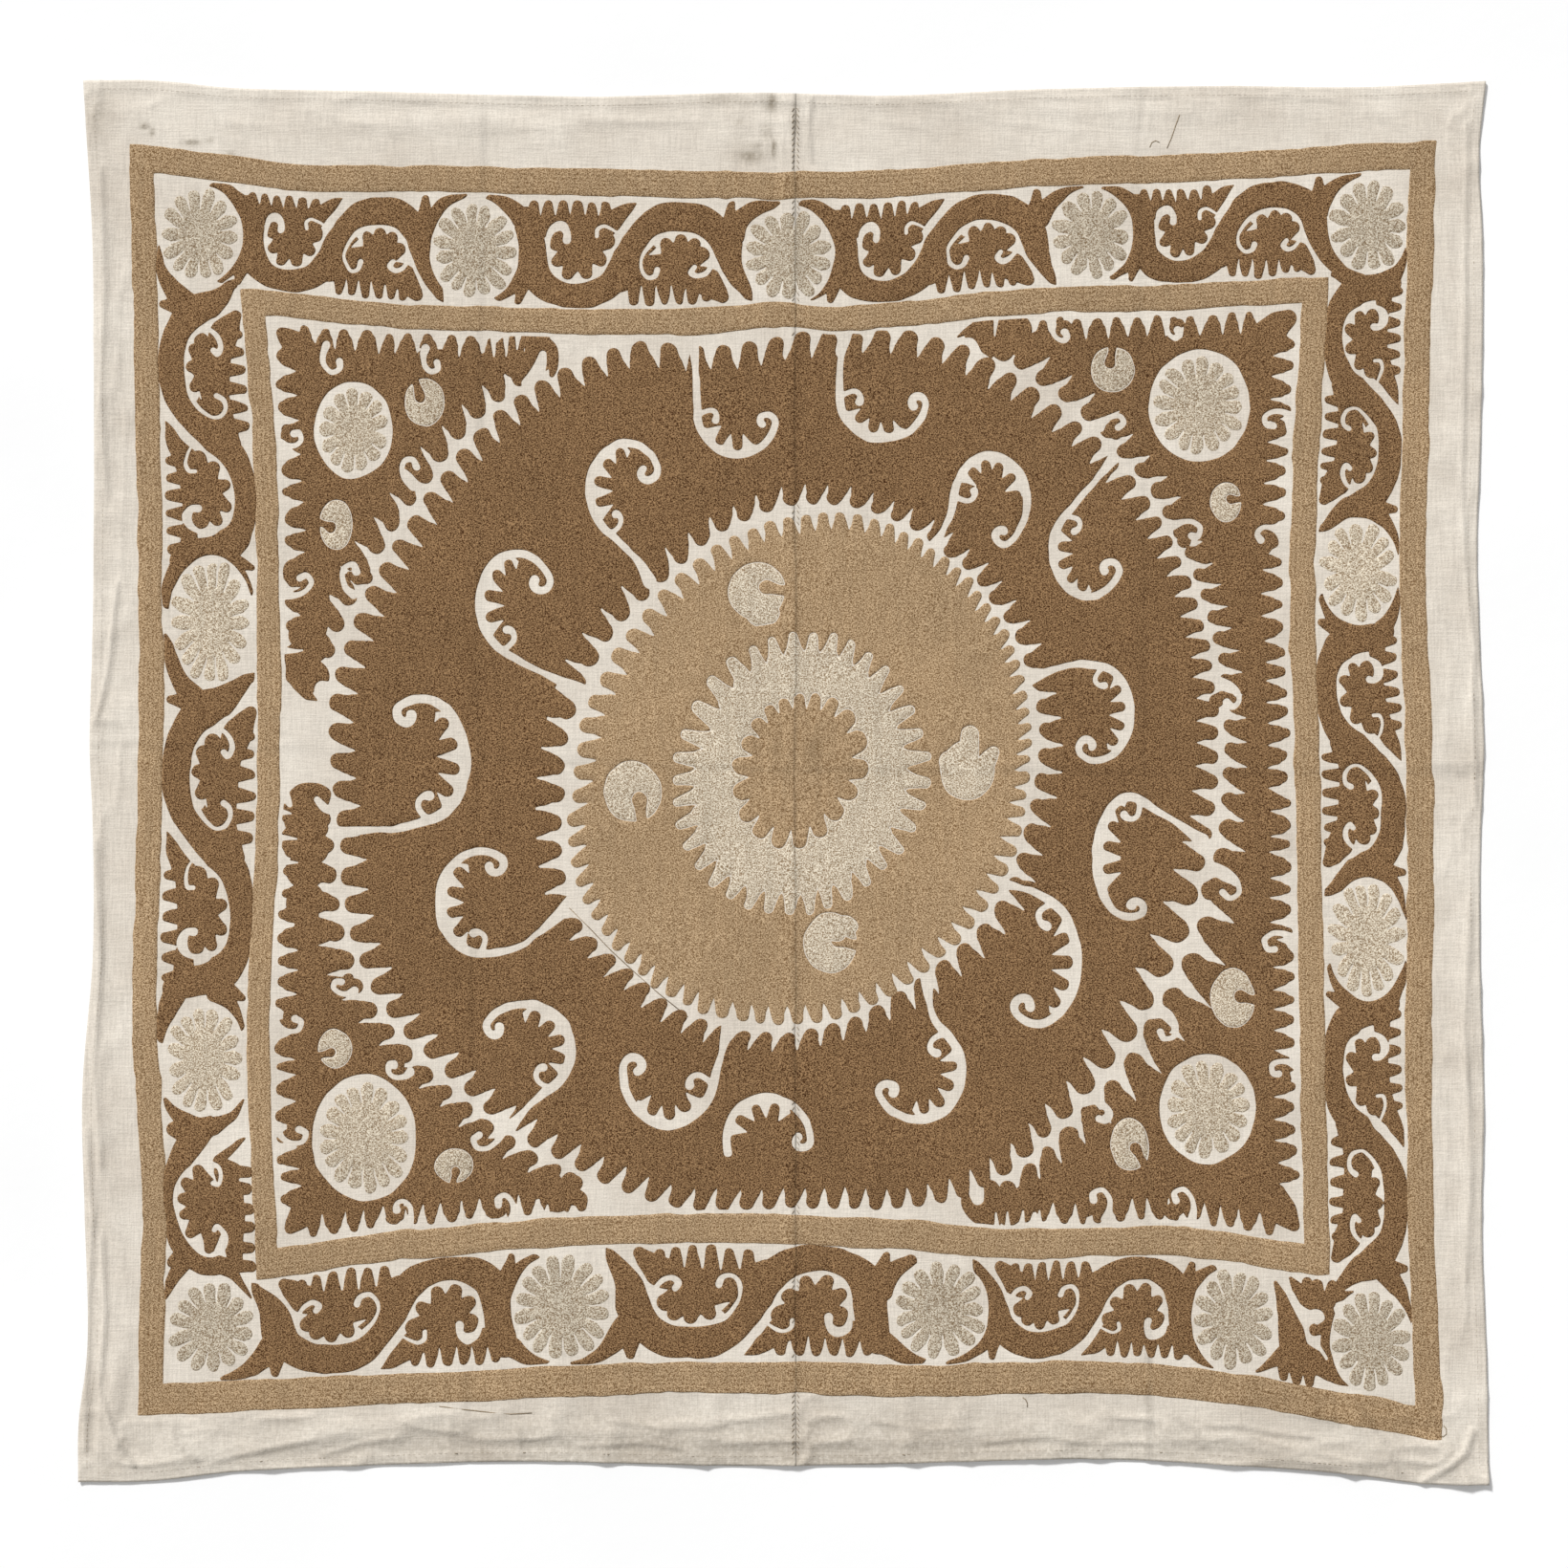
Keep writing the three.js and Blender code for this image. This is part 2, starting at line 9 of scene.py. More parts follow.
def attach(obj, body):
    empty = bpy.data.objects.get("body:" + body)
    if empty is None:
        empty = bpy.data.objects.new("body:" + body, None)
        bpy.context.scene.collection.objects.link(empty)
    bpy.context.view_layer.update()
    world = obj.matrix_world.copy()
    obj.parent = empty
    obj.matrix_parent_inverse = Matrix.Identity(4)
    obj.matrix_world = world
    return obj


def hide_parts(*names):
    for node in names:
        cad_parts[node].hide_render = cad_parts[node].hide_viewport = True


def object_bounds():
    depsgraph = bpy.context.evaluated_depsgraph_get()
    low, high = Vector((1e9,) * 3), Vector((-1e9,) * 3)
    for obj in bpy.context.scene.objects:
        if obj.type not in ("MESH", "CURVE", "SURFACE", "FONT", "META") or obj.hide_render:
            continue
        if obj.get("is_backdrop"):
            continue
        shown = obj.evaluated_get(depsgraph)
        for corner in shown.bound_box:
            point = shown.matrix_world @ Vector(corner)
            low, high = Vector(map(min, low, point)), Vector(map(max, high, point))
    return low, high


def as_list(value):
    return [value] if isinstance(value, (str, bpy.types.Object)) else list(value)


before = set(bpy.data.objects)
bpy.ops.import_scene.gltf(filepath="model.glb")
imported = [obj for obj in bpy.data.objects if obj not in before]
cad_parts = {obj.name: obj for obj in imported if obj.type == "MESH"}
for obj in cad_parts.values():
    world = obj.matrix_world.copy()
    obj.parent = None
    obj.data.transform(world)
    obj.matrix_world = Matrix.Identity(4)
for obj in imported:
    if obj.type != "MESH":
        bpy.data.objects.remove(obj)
cad_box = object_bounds()

MM = 0.001
SEED = 11

# Drawing raster of the embroidery: a depth in millimetres at each place, positive inside the yarn
STEP = 1.0
HALF = 700.0
NEAR = 6.0
SIDE = int(2 * HALF / STEP) + 1
LAST = SIDE - 1.001
AXIS = np.arange(SIDE) * STEP - HALF
ACROSS = AXIS[None, :]
UP = AXIS[:, None]

# Lengths too small to matter, which keep divisions and places apart
TINY = 1e-9
APART = 1e-6

# Plain bands: each side's middle line as (place along the side, distance from the middle), in millimetres
OUTER_BAND = {
    "top": [
        (-670, 653), (-575, 641), (-514, 633), (-400, 632), (-260, 629), (135, 628), (214, 634), (320, 640),
        (420, 643), (668, 656),
    ],
    "right": [(-671, 675), (-400, 665), (18, 665), (225, 658), (378, 661), (656, 668)],
    "bottom": [
        (-662, -645), (-400, -634), (-290, -629), (10, -622), (135, -626), (270, -622), (360, -623),
        (436, -629), (514, -641), (675, -671),
    ],
    "left": [(-645, -662), (-400, -659), (-280, -667), (-130, -666), (-20, -662), (378, -665), (653, -670)],
}
OUTER_WIDTH = {"top": 29, "right": 28, "bottom": 33, "left": 26}
INNER_BAND = {
    "top": [
        (-556, 503), (-400, 488), (-260, 483), (-60, 484), (-8, 489), (30, 485), (108, 488), (214, 500),
        (420, 508), (557, 516),
    ],
    "right": [(-500, 558), (-206, 552), (-22, 549), (225, 542), (378, 548), (516, 557)],
    "bottom": [
        (-540, -504), (-400, -484), (-290, -474), (10, -467), (110, -472), (240, -482), (420, -480),
        (558, -500),
    ],
    "left": [(-504, -540), (-400, -545), (-256, -549), (-20, -538), (174, -539), (378, -544), (503, -556)],
}
INNER_WIDTH = {"top": 27, "right": 27, "bottom": 31, "left": 24}

# Sides: 1 for a level one, and the direction out from the middle
SIDES = {"top": (1, 1), "right": (0, 1), "bottom": (1, -1), "left": (0, -1)}

# Reach of the rows of stitches from a band's middle line, and the distance held where there is no band
BAND_REACH = 20.0
NO_BAND = 100.0

# Medallion: its heart, and each place's turn about it in degrees and distance from it
HEART_X = 18
HEART_Y = 14
TURN = np.degrees(np.arctan2(UP - HEART_Y, ACROSS - HEART_X)) % 360
REACH = np.hypot(ACROSS - HEART_X, UP - HEART_Y)

# Rings about the heart: (turn in degrees, reach of the tips), and (turn, pitch of the tips)
RIM = [
    (0, 437), (30, 456), (60, 469), (74, 475), (84, 460), (92, 455), (100, 451), (106, 464), (112, 480),
    (120, 488), (150, 487), (172, 498), (186, 489), (205, 504), (225, 488), (240, 481), (255, 477),
    (270, 459), (282, 470), (290, 480), (305, 462), (330, 442),
]
RIM_PITCH = [(0, 26), (60, 29), (120, 28), (180, 31), (240, 28), (290, 24), (312, 34), (335, 42), (350, 31)]
EYE = [
    (0, 247), (30, 260), (60, 272), (78, 280), (100, 268), (125, 242), (150, 241), (180, 246), (205, 270),
    (212, 278), (230, 275), (255, 280), (275, 269), (300, 250), (330, 247), (350, 241),
]
EYE_PITCH = [(0, 26), (30, 24), (72, 22), (110, 26), (150, 29), (190, 28), (230, 24), (270, 23), (320, 29)]
SUN = [
    (0, 240), (30, 258), (60, 270), (75, 273), (100, 259), (120, 242), (140, 231), (165, 234), (180, 237),
    (200, 258), (220, 271), (245, 276), (270, 267), (290, 258), (305, 248), (330, 243),
]
SUN_PITCH = [(0, 18), (45, 17), (90, 19), (140, 28), (180, 25), (210, 20), (250, 20), (300, 22), (330, 23)]
PETALS = [
    (0, 136), (30, 135), (60, 143), (90, 144), (120, 138), (150, 133), (180, 133), (195, 138), (210, 146),
    (225, 153), (270, 152), (285, 148), (300, 141), (330, 136),
]
PETAL_PITCH = [
    (0, 28), (30, 26), (60, 23), (90, 22), (120, 28), (145, 36), (170, 26), (220, 25), (270, 22), (320, 26),
]
CORE = [
    (0, 70), (29, 78), (50, 81), (80, 81), (103, 79), (130, 73), (150, 70), (175, 71), (202, 75), (219, 81),
    (236, 85), (253, 84), (270, 82), (285, 75), (305, 68), (332, 64),
]
CORE_TURNS = [0, 28, 48, 64, 79, 92, 104, 117, 132, 152, 177, 202, 220, 236, 253, 269, 286, 307, 335]
CORE_DEPTH = 36.0

# Tips of each ring: length and radius of the end as shares of the pitch, and lean in degrees
RIM_TIPS = (1.1, 0.31, 0.4)
FIELD_TIPS = (0.88 * RIM_TIPS[0], RIM_TIPS[1], -0.8)
EYE_TIPS = (0.86, 0.33, -0.6)
SUN_TIPS = (1.15, 0.31, -0.5)
PETAL_TIPS = (1.45, 0.18, 0.0)
CORE_TIPS = (1.4, 0.33, 0.0)

# Outline of a tip from its root: shares of its length and of its pitch, with a shoulder that also widens
# with the end. Then how uneven ends, reaches and lengths are, and how far a body covers its tips.
TIP_ROWS = [(1.3, 0.57), (1.0, 0.49), (0.8, 0.435)]
TIP_SHOULDER = (0.55, 0.205, 0.5)
END_UNEVEN = (0.92, 1.08)
REACH_UNEVEN = (-1.5, 1.0)
LENGTH_UNEVEN = (0.94, 1.06)
TIP_OVERLAP = 4.0

# Corner fields: gap to the rim and cover of the tips there, then the fingers towards the band: length, end
# radius as a share of the width, gap, cover, outline as shares of length and width, and unevenness
FIELD_GAP = 4.0
FIELD_OVERLAP = 5.0
SIDE_LENGTH = 24.0
SIDE_SHARP = 0.24
SIDE_GAP = 5.0
SIDE_OVERLAP = 3.0
SIDE_ROWS = [(1.3, 0.56), (1.0, 0.5), (0.55, 0.39)]
SIDE_CUT = 0.14
SIDE_LEAN = 0.12
SIDE_UNEVEN = (-1.5, 2.0)

# Bare gaps: from the band to the corner fields and to the dark field, and between two yarns
BAND_CLEAR = 3.5
FIELD_CLEAR = 3.0
YARN_CLEAR = 0.4

# Border rosettes, clockwise from the upper left corner: middle and half-sizes of the bare halo
TOP_ROSETTES = [
    (-610, 572, 44, 52), (-323, 556, 47, 55), (5, 551, 49, 52), (322, 573, 43, 50), (612, 582, 43, 52),
]
BOTTOM_ROSETTES = [
    (-598, -570, 49, 51), (-232, -549, 53, 58), (163, -551, 52, 53), (471, -561, 45, 56),
    (615, -584, 43, 56),
]
LEFT_ROSETTES = [(-598, 168, 44, 69), (-606, -289, 44, 60)]
RIGHT_ROSETTES = [(601, 221, 43, 56), (610, -163, 42, 64)]
CORNER_ROSETTES = [(-449, 369, 41, 50), (435, 394, 53, 58), (-438, -371, 54, 66), (444, -341, 50, 57)]
HALO = 3

# Petals of a rosette: width, share of its radius where they part, range of their ends' radius as a share of
# the width, their outline up to the end, and the grooves between them as (share of the radius, half-width)
PETAL_WIDTH = 16.5
PETAL_PART = 0.80
PETAL_END = (0.34, 0.43)
PETAL_ROWS = [(0.12, 0.5), (PETAL_PART - 0.06, 0.48)]
PETAL_GROOVE = [(0.58, 0.5), (0.80, 0.9), (1.0, 1.5)]
PETAL_TURN = 0.14
PETAL_UNEVEN = (-0.06, 0.05)
BORDER_REACH = 1.0
CORNER_REACH = 0.93

# Corner fields: the turns about the heart between which each lies, and the stretches of band beside it, each
# with the pitch of its fingers
CORNERS = [
    {"turns": (121, 171), "runs": [("left", 96, 459, 28), ("top", -512, -250, 21)]},
    {"turns": (184, 243), "runs": [("bottom", -502, -215, 20), ("left", -447, -14, 23)]},
    {
        "turns": (292, 430),
        "runs": [("top", 200, 497, 20), ("right", -420, 471, 23), ("bottom", 205, 517, 19)],
    },
]

# Curls of bare cloth in the dark field: middle and half-sizes (across, up) of the outer edge, direction that
# the back faces, hand (1 where it runs clockwise from its stem), degrees from the back to the stem and to
# the hook, the hook's radius, and the place where the stem meets a ring gap
CURLS = [
    (-49, 384, 44, 45, 270, -1, 92, 78, 7.5, (-97, 472)),
    (104, 403, 49, 48, 270, -1, 92, 78, 7.5, (69, 482)),
    (-165, 305, 42, 54, 180, 1, 66, 150, 9, (-140, 210)),
    (-279, 187, 43, 57, 180, 1, 68, 148, 9, (-212, 96)),
    (-378, 23, 51, 69, 0, -1, 84, 118, 8.5, (-474, -50)),
    (-317, -125, 47, 58, 180, 1, 94, 118, 8.5, (-220, -122)),
    (-271, -280, 53, 53, 0, -1, 60, 142, 8, (-290, -364)),
    (-120, -304, 52, 58, 270, 1, 80, 98, 9.5, (-58, -256)),
    (-17, -374, 48, 49, 90, 1, 108, 88, 7.5, None),
    (141, -302, 50, 55, 0, 1, 54, 150, 8.5, (150, -202)),
    (266, -187, 46, 70, 0, 1, 70, 120, 9.5, (222, -104)),
    (361, -78, 38, 67, 180, -1, 112, 108, 7, (438, -60)),
    (329, 73, 38, 53, 0, 1, 84, 118, 8, (246, 100)),
    (318, 243, 41, 52, 180, -1, 52, 148, 8.5, (353, 346)),
    (216, 294, 42, 53, 90, 1, 88, 150, 8, (150, 240)),
]
CURL_SIZE = 49.0
CURL_LINE = [(0.0, 4.2), (0.25, 4.4), (0.5, 4.2), (0.75, 3.9), (1.0, 3.5)]
CURL_END = 4.3
CURL_POINTS = 25
CURL_HOOK = [(110, 1.15), (130, 0.8)]

# Inside of a curl: half-width and inset of the bare hollow and the points along it, then the fingers: pitch,
# inset of their row, degrees left free at the stem and at the hook, root, middle and end
HOLLOW = (12.0, 18.5)
HOLLOW_SPAN = slice(4, 17)
FINGER_PITCH = 18.5
FINGER_INSET = 15.0
FINGER_FREE = (18, 40)
FINGER_POINTS = 60
FEWEST_FINGERS = 4
FINGER_ROOT = 9.0
FINGER_MIDDLE = (34.0, 7.2)
FINGER_TIP = (15.5, 1.5)
FINGER_UNEVEN = 0.8
FINGER_END = 5.8
ROUND_UNEVEN = (0.92, 1.06)

# Second hook and stem of a curl: bends as (degrees, radius), and half-widths along each
SECOND_HOOK = [(66, 8.0), (8, 50.0), (132, 7.8)]
SECOND_LINE = [(0, 3.6), (0.3, 2.5), (0.75, 2.6), (1, 4.2)]
STEM_BEND = 0.45
STEM_POINTS = 12
STEM_LINE = [(0.55, 2.9), (1, 7.0)]
BEND_STEP = 10
FEWEST_STEPS = 3

# Small hooks of bare cloth in the corner fields: start, heading in degrees, size and hand
HOOKS = [
    (-478, 458, 268, 29, -1), (-375, 454, 268, 25, -1), (-388, 309, 118, 28, 1), (-449, 197, 122, 29, 1),
    (-526, 355, 355, 22, -1), (-520, 196, 10, 29, -1), (282, 478, 290, 20, -1), (401, 483, 285, 19, -1),
    (331, 370, 48, 24, 1), (409, 269, 8, 27, 1), (457, 105, 325, 28, 1), (-448, -217, 185, 22, 1),
    (-391, -301, 195, 23, 1), (-296, -367, 225, 29, 1), (-391, -463, 92, 26, -1), (-284, -457, 92, 27, -1),
    (452, -88, 325, 36, 1), (395, -236, 308, 32, 1), (316, -335, 350, 28, 1), (336, -456, 85, 30, -1),
    (427, -456, 95, 31, -1), (531, 383, 168, 27, -1), (522, 243, 115, 31, -1), (533, -162, 172, 30, -1),
    (534, -295, 170, 24, -1), (-531, -246, 320, 27, -1), (-528, -362, 320, 29, -1),
]
HOOK = [
    (0.0, 0.0, 4.2), (0.35, 0.10, 3.0), (0.75, 0.02, 2.5), (0.98, -0.24, 2.6), (0.84, -0.54, 3.0),
    (0.60, -0.50, 3.7),
]
HOOK_FINGER = [(0.28, -0.66, 0.27), (0.35, -0.42, 0.21), (0.66, -0.24, 0.11)]

# Curled ends of the corner fields: strokes of yarn, then drops of bare cloth inside them, then notches
# between their fingers as (mouth, end, half-width of the mouth)
LEG_ENDS = [
    [(-259, 460, 9), (-245, 453, 9), (-240, 439, 6), (-242, 427, 3)],
    [(-505, -40, 16), (-498, -18, 18), (-487, -14, 14)],
    [(230, -444, 10), (208, -453, 10), (192, -440, 6), (190, -423, 2)],
    [(-225, -432, 10), (-213, -436, 8), (-210, -444, 5)],
    [(-510, 125, 14), (-508, 108, 11), (-499, 94, 6), (-489, 87, 1.5)],
    [(211, 464, 12), (206, 475, 8.5), (195, 473, 5), (182, 466, 1.2)],
]
LEG_DROPS = [
    [(-251, 447, 4), (-253, 437, 6), (-262, 424, 6), (-269, 418, 5)],
    [(-472, -30, 2), (-481, -25, 4.5), (-487, -17, 3)],
    [(202, -396, 3), (203, -421, 6), (203, -436, 6)],
    [(-198, -410, 6.5), (-198, -460, 6.5)],
    [(-472, 97, 8), (-482, 98, 9)],
    [(-526, 4, 10), (-522, -12, 6), (-516, -24, 2.5)],
    [(182, 457, 6), (195, 458, 6), (204, 446, 5), (216, 439, 4.5)],
]
LEG_NOTCHES = [
    (-303, 466, -303, 446, 3.5), (-290, 466, -290, 446, 3), (-278, 464, -278, 453, 2.5),
    (-529, 138, -503, 137, 4), (-529, -31, -514, -33, 4), (-529, -58, -508, -59, 4),
    (-529, -83, -508, -84, 4), (-247, -456, -247, -442, 5), (-221, -456, -221, -443, 5),
    (223, -463, 223, -450, 2.5), (222, 490, 221, 467, 3), (235, -465, 235, -449, 3.5),
    (250, -466, 250, -448, 3.5), (267, -466, 267, -448, 3.5),
]
NOTCH_END = 0.7
FIELD_CORNERS = [
    [(-503, 452, 16), (-519, 464, 10), (-525, 469, 6)],
    [(505, 465, 18), (519, 480, 13), (529, 486, 9)],
    [(-498, -445, 16), (-511, -460, 10), (-516, -466, 6.5)],
    [(510, -436, 18), (525, -452, 13), (533, -463, 7)],
]

# Commas: middle, half-sizes and the direction of the bite
SUN_COMMAS = [(-28, 200, 29, 30, 10), (-158, -10, 30, 32, 300), (192, 13, 28, 30, 62), (49, -167, 28, 31, 5)]
COMMA_LOBES = [
    [(188, 20, 14), (194, 40, 10), (195, 50, 9)],
    [(205, 12, 12), (215, 25, 8), (219, 31, 6)],
    [(178, 10, 14), (172, 22, 10)],
    [(-25, 178, 14), (-12, 176, 9)],
    [(56, -154, 12), (64, -148, 9), (71, -150, 7)],
]
CORNER_COMMAS = [
    (-375, 398, 20, 24, 130), (-468, 269, 17, 26, 185), (344, 432, 23, 23, 100), (463, 293, 16, 20, 20),
    (-469, -278, 17, 20, 210), (-344, -400, 19, 17, 275), (362, -378, 20, 27, 320), (470, -226, 23, 30, 10),
]
BITE = [(1.2, -0.22, 0.26), (0.80, -0.12, 0.20), (0.50, 0.0, 0.24), (0.34, 0.06, 0.29)]

# Leafy scroll between two rosettes of the border, charted. Rows are (along, out from the middle
# towards the outer band, half-width), in millimetres of a scroll of the length and half-height given here.
SCROLL_LENGTH = 328.0
SCROLL_HALF = 58.6
SCROLL_YARN = [
    [
        (54, 35, 12), (58, 17, 15), (60, -1, 15.5), (64, -21, 17), (78, -36, 16.5), (100, -43, 14.5),
        (122, -42, 14.5), (140, -30, 17), (156, -10, 15.5), (170, 10, 16), (184, 25, 17.5), (200, 35, 18),
        (218, 38, 16.5), (236, 35, 16.5), (252, 23, 17), (264, 5, 17), (269, -13, 14),
    ],
    [(48, 36, 11), (32, 48, 8.5), (16, 51, 6)],
    [(50, -20, 12), (38, -36, 9), (25, -47, 6.5)],
    [(50, -35, 8.5), (46, -51, 4)],
    [(272, 23, 13), (284, 38, 10), (298, 49, 7.5), (318, 56, 2)],
    [(268, 34, 8.5), (269, 51, 4.5)],
    [(268, -13, 14), (277, -33, 9.5), (285, -47, 6), (290, -55, 1)],
    [(58, 26, 11), (84, 24, 8), (116, 24, 9), (142, 30, 12), (157, 44, 7), (172, 51, 1.5)],
    [(152, -28, 14), (174, -24, 8.5), (204, -23, 9.5), (226, -25, 11), (244, -32, 15), (260, -49, 6.5)],
]
SCALLOPS = [(62, 47), (77, 48), (92, 48), (107, 48), (122, 48), (137, 48)]
SCALLOPS += [(166, -49), (182, -50), (198, -51), (214, -51), (229, -50), (243, -49)]
SCALLOP_ROOT = (25.0, 8.6)
SCALLOP_MIDDLE = (37.0, 7.2)
SCALLOP_END = 4.9
SCALLOP_UNEVEN = 1.5
SCROLL_LINES = [
    [
        (174, 52, 3), (163, 37, 2.4), (151, 22, 2), (144, 6, 3), (137, -9, 3.5), (126, -21, 4),
        (112, -28, 3.5), (96, -28, 3.5), (84, -20, 3.5), (78, -5, 2.5), (77, 11, 2), (82, 24, 4),
        (90, 27, 5), (96, 20, 3.5), (96, 13, 4),
    ],
    [
        (279, -57, 6), (266, -38, 2.8), (257, -23, 1.9), (250, -7, 2.4), (243, 8, 3), (231, 18, 3),
        (216, 21, 2.5), (201, 20, 2.5), (188, 15, 2.5), (178, 4, 2), (173, -8, 1.5), (175, -20, 2),
        (181, -26, 2), (189, -24, 2.5), (192, -17, 3),
    ],
]
SCROLL_BELLIES = [
    [(82, -7, 4), (92, -21, 5.5), (110, -25, 6), (128, -15, 5.5), (139, 1, 4)],
    [(190, 11, 3), (206, 14, 4.5), (226, 14, 5), (239, 5, 4.5), (245, -4, 3)],
]
SCROLL_FINGERS = [
    (
        (110, 9, 16),
        [(86, 10, 8.5), (86, -10, 6), (98, -22, 6.6), (116, -21, 6.6), (131, -7, 7), (138, 12, 9)],
    ),
    ((212, -13, 17), [(182, -12, 10.5), (200, 10, 6.8), (216, 14, 6.8), (230, 10, 6.8), (238, -1, 8)]),
]
SCROLL_HOOKS = [
    [(148, 21, 1), (142, 25, 1.5), (134, 28, 1.6), (128, 24, 2), (128, 17, 2)],
    [(249, -5, 2), (246, -16, 2), (240, -23, 2.4), (232, -25, 2.6), (227, -20, 3), (230, -15, 2.8)],
]
LINE_TAIL = 9

# The single leaf at the lower end of the left side, from its own upper left corner
HALF_PLACE = (-659.5, -331.5)
HALF_YARN = [
    [
        (52, -29, 15.5), (34, -52, 13), (22, -77, 10.5), (19, -96, 8.5), (20, -121, 8.5), (26, -146, 10.5),
        (43, -167, 10.5), (60, -174, 10.5), (83, -172, 7), (96, -174, 5),
    ],
    [(40, -26, 10.5), (19, -10, 5), (12, 0, 2)],
    [(65, -28, 10.5), (84, -17, 5), (95, 0, 1.5)],
    [(34, -34, 10.5), (22, -30, 7.5)],
    [(34, -160, 9.5), (22, -169, 7)],
    [(34, -169, 9.5), (22, -188, 6.5), (13, -208, 1.5)],
    [(69, -172, 9.5), (83, -181, 6.5), (103, -208, 1.5)],
    [(83, -76, 10.5), (69, -64, 7), (83, -52, 5), (96, -41, 1.5)],
    [(74, -74, 10.5), (83, -103, 12), (83, -138, 12), (86, -165, 8.5)],
]
HALF_SCALLOPS = [(99, -76), (98, -93), (100, -114), (100, -133), (101, -155), (102, -174)]
HALF_SCALLOP = (17, 7.5, 6.2)
HALF_LINE = [
    (96, -17, 3.5), (86, -43, 2), (72, -53, 1.5), (57, -60, 2), (40, -71, 3.5), (30, -83, 3), (27, -103, 4),
    (28, -124, 3.5), (36, -143, 3), (48, -157, 2.5), (62, -162, 2.5), (72, -157, 2.5), (76, -146, 2.5),
    (72, -136, 2.5), (67, -132, 2.5), (65, -136, 2.5),
]
HALF_TAIL = 10
HALF_BELLY = [(47, -73, 5), (37, -86, 6), (34, -104, 7), (35, -122, 7), (42, -141, 6.5), (56, -154, 5)]
HALF_FINGERS = [(47, -71, 6), (35, -86, 6), (33, -103, 6), (33, -120, 6), (39, -139, 6), (59, -155, 6)]
HALF_HEART = (64, -112, 19)
HALF_HOOK = [(60, -65, 2.5), (69, -71, 2), (71, -81, 2), (68, -89, 2), (63, -87, 3)]

# The short leaf at the right end of the bottom side, from its own upper left corner
SHORT_PLACE = (410.5, -491.5)
SHORT_YARN = [
    [(103, -30, 2), (109, -43, 5.5), (117, -61, 11), (120, -83, 14), (126, -104, 15.5), (141, -115, 15)],
    [(111, -107, 9), (96, -117, 5.5), (83, -125, 2)],
    [(148, -115, 13), (166, -128, 8.5), (182, -139, 2)],
    [(113, -118, 7.5), (113, -129, 5)],
    [(127, -122, 7.5), (127, -134, 5)],
    [(140, -126, 6.5), (140, -136, 4.5)],
    [
        (120, -26, 2), (133, -43, 9), (139, -46, 11), (154, -55, 9), (161, -74, 8.5), (159, -92, 7.5),
        (159, -111, 7.5),
    ],
    [(139, -46, 8), (137, -31, 5.5)],
    [(148, -48, 8), (148, -33, 6)],
    [(160, -52, 8), (163, -35, 5.5)],
    [(159, -48, 7.5), (172, -46, 5.5), (185, -44, 4)],
]
SHORT_LINE = [(111, -28, 2), (126, -55, 4.5), (135, -74, 3.5), (146, -92, 2.5), (157, -111, 1.5)]
SHORT_LOBE = [(152, -78, 7), (146, -80, 6.5)]
SHORT_HOOK = [(136, -73, 2.5), (138, -66, 2.5), (144, -60, 2), (152, -62, 2), (154, -68, 2), (148, -72, 2.5)]

# Hand-drawn wavering of the whole design: reach and pitch, slow and quick
WAVER = [(0.8, 30.0), (0.4, 10.0)]

rng = np.random.default_rng(SEED)


def through(rows):
    """A smooth curve through rows of (place, reach), as a function of the place."""
    places, reaches = np.array(rows, float).T
    slopes = np.gradient(reaches, places)

    def reach(at):
        at = np.clip(at, places[0], places[-1])
        left = np.clip(np.searchsorted(places, at, "right") - 1, 0, len(places) - 2)
        width = places[left + 1] - places[left]
        t = (at - places[left]) / width
        level = reaches[left] * (1 + 2 * t) * (1 - t) ** 2 + reaches[left + 1] * t * t * (3 - 2 * t)
        return level + width * (slopes[left] * t * (1 - t) ** 2 + slopes[left + 1] * t * t * (t - 1))

    return reach


def all_round(rows):
    """The same for rows of (turn in degrees, reach) that close on themselves."""
    before = [(turn - 360, reach) for turn, reach in rows]
    after = [(turn + 360, reach) for turn, reach in rows]
    curve = through(before + list(rows) + after)
    return lambda turn: curve(np.mod(turn, 360.0))


def smooth(rows, steps=5):
    """Points close together on a smooth curve through rows of numbers."""
    rows = np.array(rows, float)
    places = np.concatenate([[0], np.cumsum(np.hypot(*np.diff(rows[:, :2], axis=0).T) + APART)])
    fine = np.interp(np.arange((len(rows) - 1) * steps + 1) / steps, np.arange(len(rows)), places)
    return np.stack([through(np.stack([places, column], 1))(fine) for column in rows.T], 1)


def blank():
    """A layer without yarn."""
    return np.full((SIDE, SIDE), -NEAR, np.float32)


def clipped(depth):
    """A depth held to the range that the layers keep."""
    return np.clip(depth, -NEAR, NEAR)


def window(low, high):
    """The rows and columns of the raster that a box covers."""
    first = np.clip(np.floor((np.array(low) + HALF) / STEP), 0, SIDE - 1).astype(int)
    last = np.clip(np.ceil((np.array(high) + HALF) / STEP) + 1, 1, SIDE).astype(int)
    return slice(first[1], last[1]), slice(first[0], last[0])


